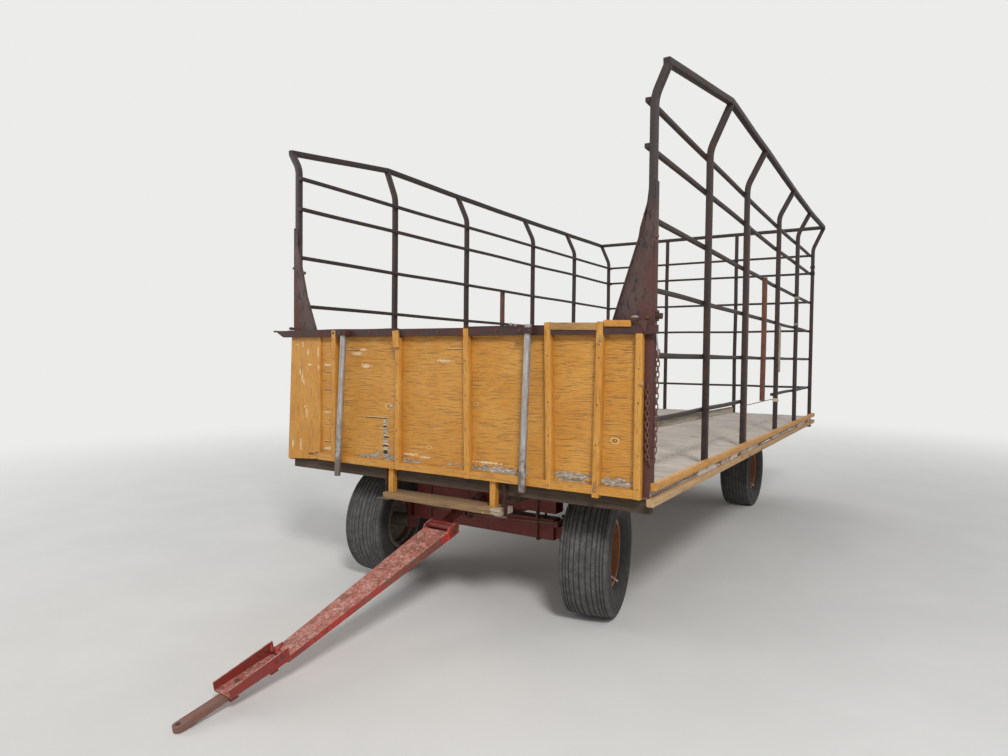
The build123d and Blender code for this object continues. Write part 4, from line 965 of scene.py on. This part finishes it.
def railExtras():
    # the outrigger's thin end, bent lips on the rail, the bar's bolted end, pale chips, bolts and screws
    v = railBits
    heap, chips, bolts = Heap(), Heap(), Heap()
    tip = line(*v["tip"])
    boxes = [roundedBox(v["tipWide"] - v["tipTaper"] * n, v["tipHigh"], 0.002) for n in range(len(tip))]
    heap.bar(tip, upward, np.stack(boxes))
    for start, end, waves, thick in v["lips"]:
        path = line(start, end, 40)
        for axis, high, size, seed in waves:
            path[:, axis] += high * ripple(path, size, seed)
        heap.bar(path, upward, roundedBox(0.040, thick, 0.002))
    for build in v["ends"]:
        heap.stick(*build)
    heap.blob(*v["lump"])
    heap.piece("railExtras", "railBits", "wagon", "rack_steel")
    for chip in v["chips"]:
        chips.blob(*chip)
    chips.piece("railChips", "grey", "wagon", "tan_wood", seams=True)
    for places, station, z, *build in v["bolts"]:
        for x in places:
            bolts.bolt((x, back(station), z), forward, *build)
    rng = np.random.default_rng(520)
    for topX, lowX, low, high, proud in panel["battens"]:
        for share in v["screwShares"]:
            x, z = lowX + (topX - lowX) * share, low + (high - low) * share
            spot = x + rng.uniform(-0.004, 0.004), panel["face"] - proud, z + rng.uniform(-0.03, 0.03)
            bolts.nail(spot, forward, *v["screw"])
    bolts.piece("panelScrews", "iron", "wagon", "bare_steel", seams=True)


battenSticks()
cornerPlates()
railExtras()
print("front panel fitted")


chain = dict(
    # a link's spacing, half length, half width and wire, and the x and y that its outer side faces away from
    pitch=0.0275, half=0.0190, wide=0.0100, wire=0.0032, core=(1.30, back(30)),
    strands=[
        [(1.3525, back(30), 1.615), (1.3525, back(14), 1.36), (1.3525, back(4), 1.12), (1.3500, back(-12), 1.062)],
        [(1.3380, back(-36), 1.060), (1.3260, back(-37), 1.09), (1.3230, back(-37), 1.26), (1.3230, back(-37), 1.45)],
    ],
    strap=((1.3430, back(7), 1.763), (1.3500, back(38), 1.605), 8, leftward, 0.016, 0.003, 0.001),
)


def chainLinks():
    # each link is a round wire carried along a stadium; neighbours lie a quarter turn apart
    v = chain
    heap, strap = Heap(), Heap()
    turn = np.linspace(0, 2 * np.pi, 12, endpoint=False)
    x, y = np.cos(turn) * v["wide"] * 0.8, np.sin(turn) * v["wide"] * 0.8
    loop = np.stack([x, y + np.sign(np.sin(turn)) * (v["half"] - v["wide"])], 1)
    for strand in v["strands"]:
        path = through(strand, 0.004)
        centres = placesAt(path, np.arange(0, distances(path)[-1], v["pitch"]))
        outward = unit(np.array([strand[0][0] - v["core"][0], strand[0][1] - v["core"][1], 0.0]))
        for n, (centre, way) in enumerate(zip(centres, unit(np.gradient(centres, axis=0)))):
            across = unit(np.cross(way, outward))
            across = across if n % 2 else unit(np.cross(way, across))
            points = centre + across * loop[:, :1] + way * loop[:, 1:]
            heap.bar(points, np.cross(way, across), ring(v["wire"], 6), loop=True)
    heap.piece("postChain", "links", "wagon", "bare_steel")
    strap.stick(*v["strap"])
    strap.piece("chainStrap", "zinc", "wagon", "bare_steel")


tieWire = dict(place=(1.2917, 1.220), lay=0.034, apart=0.0019, wire=0.0017)
wraps = dict(
    # side, station, height, half the post with slack, turns, spread, wire, seed
    tieWire=[(1, 2092, 1.220, 0.0195, 3, 0.012, 0.0018, 2092), (1, 3392, 1.220, 0.0195, 3, 0.012, 0.0018, 3392)],
    twine=[
        (1, 3392, 1.212, 0.0205, 7, 0.030, 0.0022, 71), (1, 4449, 2.245, 0.0200, 4, 0.030, 0.0020, 73),
        (1, 4449, 1.965, 0.0200, 3, 0.020, 0.0020, 74),
    ],
    # place, half sizes and seed of the twine's knots
    knots=[
        ((1.339, back(3380), 1.212), (0.008, 0.010, 0.009), 72),
        ((1.338, back(4439), 2.245), (0.007, 0.008, 0.007), 75),
    ],
    ties=[
        (1, 5538, 2.700, 0.0205, 5, 0.024, 0.0030, 76), (1, 5538, 2.628, 0.0205, 6, 0.034, 0.0032, 77),
        (1, 1046, 1.262, 0.0200, 3, 0.014, 0.0020, 78), (-1, 5538, 2.640, 0.0205, 4, 0.024, 0.0030, 79),
    ],
)


def postWrap(heap, side, station, high, half, turns, drop, wire, seed):
    # a helix of rounded squares round a post
    turn = np.linspace(0, turns * 2 * np.pi, int(turns * 24))
    reach = half / np.maximum(np.abs(np.cos(turn)), np.abs(np.sin(turn))) ** 0.8 + wire
    x, y = side * rack["postX"] + reach * np.cos(turn), back(station) + reach * np.sin(turn)
    path = np.stack([x, y, high + drop * (turn / turn[-1] - 0.5)], 1)
    path[:, 2] += 0.002 * ripple(path, 0.05, seed)
    heap.bar(path, upward, ring(wire, 6))


def wireAndTwine():
    v = tieWire
    wire, twine, ties = Heap(), Heap(), Heap()
    (x, z), y = v["place"], np.linspace(*(back(station) for station in rack["openBay"]), 420)
    for start in (0, np.pi):
        turn = (y - y[0]) / v["lay"] * 2 * np.pi + start
        path = np.stack([x + v["apart"] * np.cos(turn), y, z + v["apart"] * np.sin(turn)], 1)
        wire.bar(path, upward, ring(v["wire"], 6))
    for wrap in wraps["tieWire"]:
        postWrap(wire, *wrap)
    wire.piece("tieWire", "iron", "wagon", "bare_steel", ["tie_wire"])
    postWrap(twine, *wraps["twine"][0])
    twine.blob(*wraps["knots"][0])
    for wrap in wraps["twine"][1:]:
        postWrap(twine, *wrap)
    twine.blob(*wraps["knots"][1])
    twine.piece("twineWraps", "twine", "wagon", "tan_wood")
    for wrap in wraps["ties"]:
        postWrap(ties, *wrap)
    ties.piece("cornerTies", "rack", "wagon", "rack_steel")


loose = dict(
    # boards: start, end, rise, width, thickness, seed; the angle's strips are laid out like the corners' strips
    boards=[
        ((1.2610, back(40), 1.230), (1.2610, back(1950), 1.204), leftward, 0.044, 0.020, 611),
        ((1.3420, back(3396), 1.480), (1.3420, back(3396), 1.900), leftward, 0.028, 0.016, 612),
    ],
    angle=[
        ((1.318, back(2115), 0.95), (1.318, back(2115), 2.62), 20, leftward, 0.006, 0.030, 0.0015),
        ((1.3315, back(2126), 0.95), (1.3315, back(2126), 2.62), 20, leftward, 0.026, 0.005, 0.0015),
    ],
)


def looseTimber():
    # the weathered board held inside the lowest rail, a strip along the fourth post, an angle beside the third
    heap, angle = Heap(), Heap()
    for build in loose["boards"]:
        heap.board(*build, edge=0.003, stations=40, bow=0.001, ragged=0.010, tone=0.3)
    heap.piece("looseTimber", "grey", "wagon", "tan_wood")
    for build in loose["angle"]:
        angle.stick(*build)
    angle.piece("postAngle", "rust", "wagon", "rack_steel")


chainLinks()
wireAndTwine()
looseTimber()
print("chain, wire and twine tied")


draw = dict(
    hinge=(-0.019177, -1.92073, 0.531), along=(-0.047646, -0.950401, -0.307357), across=(0.998746, -0.05007, 0.0),
    nose=(-0.049172, -0.980839, -0.188511), length=1.25, kink=-0.012,
    # both ends and steps of the hinge's tube, the plate under it and the bent latch, then their sections
    tube=((-0.026, -0.093, 0.006), (-0.026, 0.093, 0.006), 8), tubeRing=(0.0125, 12), bossAt=(-0.024, 0.097, -0.004),
    plate=((0.022, -0.092, -0.031), (0.022, 0.092, -0.031), 3), plateBox=(0.074, 0.005, 0.0015),
    latch=((1.19, -0.046, 0.008), (1.262, -0.046, 0.016), 6), latchBox=(0.010, 0.014, 0.002),
    # lumps of weld at the front end of the top plate: distance, side, height, half sizes, seed
    lumps=[
        (1.236, -0.036, 0.010, (0.020, 0.018, 0.014), 91), (1.214, -0.044, 0.008, (0.014, 0.013, 0.010), 92),
        (1.246, -0.012, 0.008, (0.016, 0.012, 0.010), 93), (1.252, 0.030, 0.002, (0.012, 0.020, 0.008), 94),
        (1.252, -0.050, 0.020, (0.012, 0.010, 0.020), 95),
    ],
    # distance, side, height, whether on the nose, whether the head faces up, radius, head
    bolts=[
        (0.034, 0.100, -0.020, False, False, 0.010, 0.009), (0.010, 0.100, -0.022, False, False, 0.010, 0.009),
        (0.030, -0.058, 0.036, True, False, 0.0085, 0.007), (0.030, 0.064, 0.036, True, False, 0.0085, 0.007),
        (0.062, -0.058, 0.030, True, False, 0.0085, 0.007), (0.062, 0.064, 0.030, True, False, 0.0085, 0.007),
        (0.22, -0.02, -0.003, True, True, 0.011, 0.012), (0.06, 0.02, -0.003, True, True, 0.011, 0.012),
        (0.0, 0.1135, 0.0, False, False, 0.013, 0.006),
    ],
    boss=[(-0.006, 0), (-0.006, 0.030), (0.004, 0.030), (0.006, 0.028), (0.006, 0)],
)


def tongueFrame(nose=False):
    along, across = np.array(draw["nose" if nose else "along"]), np.array(draw["across"])
    return along, across, np.cross(along, across)


def onTongue(distance, side, high, nose=False):
    # a point in the tongue's own frame: ahead of the hinge, across, above its top; nose counts from the kink
    along, across, up = tongueFrame(nose)
    origin = onTongue(draw["length"], 0, draw["kink"]) if nose else np.array(draw["hinge"])
    return origin + along * distance + across * side + up * high


def tongueDetails():
    v = draw
    heap, bolts = Heap(), Heap()
    across, up = tongueFrame()[1:]
    hinge, plate, latch = (line(onTongue(*start), onTongue(*end), count)
                           for start, end, count in (v["tube"], v["plate"], v["latch"]))
    heap.bar(hinge, up, ring(*v["tubeRing"]))
    distance, beside, high = v["bossAt"]
    for side in (-1, 1):
        heap.turned(onTongue(distance, side * beside, high), across * side, v["boss"], 22)
    heap.bar(plate, up, roundedBox(*v["plateBox"]))
    for distance, side, high, size, seed in v["lumps"]:
        heap.blob(onTongue(distance, side, high), size, seed, 10)
    heap.bar(latch, up, roundedBox(*v["latchBox"]))
    heap.piece("tongueDetails", "tongueBits", "tongue", "tongue_paint", seams=True)
    for distance, side, high, nose, facesUp, radius, head in v["bolts"]:
        bolts.bolt(onTongue(distance, side, high, nose), tongueFrame(nose)[2 if facesUp else 1], radius, head)
    bolts.piece("tongueBolts", "iron", "tongue", "bare_steel", seams=True)


gear = dict(
    axles=dict(front=-1.443211, rear=2.435789), pinX=0.595, pinTop=0.5775, kingBolt=(0, back(396), 0.6585),
    # the U-bolts: x, half their width, radius of the bend, lowest and highest point, radius and sides
    clampX=0.43, half=0.0585, bend=0.016, low=0.4215, high=0.748, rod=(0.0080, 8),
    # the bars over them and the nuts: height, half a bar's length, its section; radius and height of each nut
    bar=0.739, barHalf=0.078, barBox=(0.040, 0.008, 0.002), nutZ=0.744, nut=(0.0125, 0.011), pinNut=(0.020, 0.012),
    kingNut=(0.017, 0.012),
)


def gearDetails():
    # U-bolts that clamp the bolsters to the axles, nuts on the king pins and the king bolt
    v = gear
    heap = Heap()
    corner = np.linspace(0, np.pi / 2, 5)
    inward, drop = v["bend"] * (1 - np.cos(corner)), v["bend"] * (1 - np.sin(corner))
    for y in v["axles"].values():
        for x in (-v["clampX"], v["clampX"]):
            left = np.stack([0 * corner + x, y - v["half"] + inward, v["low"] + drop], 1)
            right = np.stack([0 * corner + x, y + v["half"] - inward, v["low"] + drop], 1)[::-1]
            ends = [[(x, y + side * v["half"], v["high"])] for side in (-1, 1)]
            heap.bar(np.concatenate([ends[0], left, right, ends[1]]), leftward, ring(*v["rod"]))
            start, end = ((x, y + side * v["barHalf"], v["bar"]) for side in (-1, 1))
            heap.stick(start, end, 3, upward, *v["barBox"])
            for side in (-1, 1):
                heap.bolt((x, y + side * v["half"], v["nutZ"]), upward, *v["nut"])
    for side in (-1, 1):
        heap.bolt((side * v["pinX"], v["axles"]["front"], v["pinTop"]), upward, *v["pinNut"])
    heap.bolt(v["kingBolt"], upward, *v["kingNut"])
    heap.piece("gearBolts", "iron", "wagon", "bare_steel", seams=True)


tongueDetails()
gearDetails()
print("tongue and gear bolted")


step = dict(
    left=-0.425, right=0.469, y=back(0), z=0.692, wide=0.140, thick=0.038,
    # start and end of the straps' bent ends, then their section, height and place before the step's middle
    lips=[(-0.470, -0.375), (0.430, 0.500)], lipBox=(0.028, 0.005, 0.0015), lipZ=0.6700, lipOut=0.058,
)


def stepPieces():
    v = step
    heap, lips = Heap(), Heap()
    heap.board((v["left"], v["y"], v["z"]), (v["right"], v["y"], v["z"]), upward, v["wide"], v["thick"], 601,
               edge=0.005, stations=24, ragged=0.003)
    heap.piece("stepBoard", "step", "wagon", "tan_wood", ["step_board"])
    for ends in v["lips"]:
        start, end = ((x, v["y"] - v["lipOut"], v["lipZ"]) for x in ends)
        lips.stick(start, end, 6, upward, *v["lipBox"])
    lips.piece("strapLips", "zinc", "wagon", "rack_steel")


stepPieces()


tyre = dict(
    radius=0.388, half=0.150, treadHalf=0.134, shoulder=0.009, flange=0.2075, seat=0.1908, bead=0.0947, beadWide=0.022,
    # the rings moulded on the sidewall, their height and width
    rings=(0.232, 0.262, 0.335), ringHigh=0.0018, ringWide=0.0035,
    groove=0.007, grooveHalf=0.0036, inset=0.006, crown=0.020, sides=120,
    grooves=(-0.117, -0.100, -0.078, -0.051, -0.018, 0.018, 0.051, 0.078, 0.100, 0.117),
)
wheels = dict(
    # height of the middle, reach from the king pin; nuts and their ring, radius and height of a nut and of its stud
    centre=0.388, reach=0.215, nuts=6, nutRing=0.058, nutSunk=0.004, nut=(0.0085, 0.014), stud=(0.0045, 0.020, 8),
    # where the dust cap and the foot of the valve stem are, and the stem's way out and down
    capOut=0.061, stemDrop=0.125, stemOut=0.050, stemWay=(0.080, 0.052),
    # name, side, axle, turn of the wheel in degrees
    places=[
        ("front_left", 1, "front", 11), ("front_right", -1, "front", 6), ("rear_left", 1, "rear", 0),
        ("rear_right", -1, "rear", 0),
    ],
    cap=[(-0.006, 0), (-0.006, 0.022), (0.004, 0.021), (0.008, 0.014), (0.009, 0)],
    stem=[
        (-0.012, 0), (-0.012, 0.009), (0.006, 0.0085), (0.010, 0.005), (0.074, 0.0045), (0.076, 0.006),
        (0.096, 0.006), (0.098, 0),
    ],
)


def tyreProfile():
    # a closed outline and a tone for wear and painted light: sidewall, tread with round-bottomed grooves, sidewall, the
    # hidden inside
    v = tyre
    low, high = v["radius"] - v["shoulder"], v["radius"]
    wall = arcThrough((-v["bead"], v["flange"] + 0.001), (-v["half"], v["flange"] + 0.088), (-v["treadHalf"], low), 34)
    wall[:, 0] -= v["ringHigh"] * sum(np.exp(-((wall[:, 1] - r) / v["ringWide"]) ** 2) for r in v["rings"])
    tread = arcThrough((-v["treadHalf"], low), (0, high), (v["treadHalf"], low), 170)[1:-1]
    gap = np.abs(tread[:, :1] - np.array(v["grooves"])).min(1) / v["grooveHalf"]
    cut = np.clip(1.25 - gap ** 2 * 1.1, 0, 1)
    tread[:, 1] -= v["groove"] * cut ** 0.6
    inner = v["treadHalf"] - v["inset"]
    inside = arcThrough((inner, high - 0.025), (0, high - v["crown"]), (-inner, high - 0.025), 12)
    beads = np.array([(v["bead"], v["seat"]), (v["bead"] - v["beadWide"], v["seat"])])
    outline = np.concatenate([wall, tread, wall[::-1] * (-1, 1), beads, inside, beads[::-1] * (-1, 1)])
    wallWearAndLight, hidden = np.clip((wall[:, 1] - 0.345) / 0.03, 0, 1), np.zeros(len(beads) * 2 + len(inside))
    return outline, np.concatenate([wallWearAndLight, np.clip(1.15 - 0.9 * cut, 0, 1), wallWearAndLight[::-1], hidden])


def makeTyre(name, centre, out):
    outline, worn = tyreProfile()
    heap = Heap()
    heap.turned(centre, out, outline, tyre["sides"], wrap=True, place=True)
    # the tone carries wear and painted light: a lit tread, a shaded sidewall and shaded groove bottoms
    heap.tones = [np.tile(worn, tyre["sides"])]
    heap.piece(name + "Tyre", "tyre", name + "_wheel", "tyre_rubber", [name + "_tyre"], crease=60)


def wheelBits(name, centre, out):
    # nuts round the hub, a dust cap and a valve stem
    v = wheels
    nuts, stem = Heap(), Heap()
    up = np.array(upward)
    for turn in np.arange(v["nuts"]) * 2 * np.pi / v["nuts"]:
        spot = centre + (np.cross(out, up) * np.cos(turn) + up * np.sin(turn)) * v["nutRing"]
        nuts.bolt(spot - out * v["nutSunk"], out, *v["nut"])
        nuts.bolt(spot, out, *v["stud"])
    nuts.turned(centre + out * v["capOut"], out, v["cap"], 20)
    nuts.piece(name + "WheelNuts", "iron", name + "_wheel", "bare_steel", seams=True)
    away, down = v["stemWay"]
    stem.turned(centre - up * v["stemDrop"] + out * v["stemOut"], unit(out * away - up * down), v["stem"], 10)
    stem.piece(name + "Valve", "brass", name + "_wheel", "bare_steel", seams=True)


def makeWheels():
    v = wheels
    for name, side, axle, turn in v["places"]:
        angle = math.radians(turn)
        out = side * np.array([math.cos(angle), math.sin(angle), 0.0])
        centre = np.array([side * gear["pinX"], gear["axles"][axle], v["centre"]]) + out * v["reach"]
        makeTyre(name, centre, out)
        wheelBits(name, centre, out)


makeWheels()
print("wheels turned")


stage = dict(
    backdrop=(236, 236, 234), sky=0.42, skyColour=(0.92, 0.96, 1.0, 1), floor=60.0, aim=(0, -0.6, 1.1),
    # name, from where, size in metres, watts
    lamps=[
        ("keyLamp", (6.5, -8.5, 8.0), 2.4, 800), ("fillLamp", (-8.0, -6.0, 4.5), 6.0, 190),
        ("backLamp", (-4.0, 9.0, 7.0), 6.0, 240),
    ],
)
view = dict(place=(2.5278516, -5.2628762, 1.5856176), yaw=0.5601, pitch=-0.0307, roll=0.0104, focal=677.6, wide=1008)


def added(name, data):
    made = bpy.data.objects.new(name, data)
    bpy.context.scene.collection.objects.link(made)
    return made


def facing(place, ahead, roll):
    # a place and a turn: the object's own -Z looks ahead, its X is level and then rolled
    ahead = unit(np.asarray(ahead, float))
    level = unit(np.cross(ahead, upward))
    right = level * math.cos(roll) + np.cross(level, ahead) * math.sin(roll)
    columns = np.stack([right, np.cross(right, ahead), -ahead], 1)
    return Matrix.Translation(place) @ Matrix(columns.tolist()).to_4x4()


def floorAndLight():
    v = stage
    edge = v["floor"]
    mesh = bpy.data.meshes.new("studioFloor")
    mesh.from_pydata([(-edge, -edge, 0), (edge, -edge, 0), (edge, edge, 0), (-edge, edge, 0)], [], [(0, 1, 2, 3)])
    mesh.materials.append(floorLook("paleFloor").material)
    floor = added("studioFloor", mesh)
    sky = Look("studioSky", kind="worlds")
    shown = sky.node("ShaderNodeBackground", {}, {"Color": tint(*v["backdrop"])})
    light = sky.node("ShaderNodeBackground", {}, {"Color": v["skyColour"], "Strength": v["sky"]})
    mixed = sky.node("ShaderNodeMixShader", {}, {0: sky.seen(True), 1: light, 2: shown})
    sky.node("ShaderNodeOutputWorld", {}, {"Surface": mixed})
    bpy.context.scene.world = sky.material
    for name, where, size, watts in v["lamps"]:
        lamp = bpy.data.lights.new(name, "AREA")
        lamp.shape, lamp.size, lamp.energy = "DISK", size, watts
        added(name, lamp).matrix_world = facing(where, np.array(v["aim"]) - where, 0.0)


def photoCamera():
    # yaw turns to the left from +Y, pitch upwards
    v = view
    level = math.cos(v["pitch"])
    ahead = (-math.sin(v["yaw"]) * level, math.cos(v["yaw"]) * level, math.sin(v["pitch"]))
    lens = bpy.data.cameras.new("photoCamera")
    lens.sensor_width = 36
    lens.lens = lens.sensor_width * v["focal"] / v["wide"]
    lens.clip_end = 300
    made = added("photoCamera", lens)
    made.matrix_world = facing(v["place"], ahead, v["roll"])
    bpy.context.scene.camera = made


floorAndLight()
photoCamera()
bpy.context.scene.view_settings.view_transform = "Standard"
print("stage set")
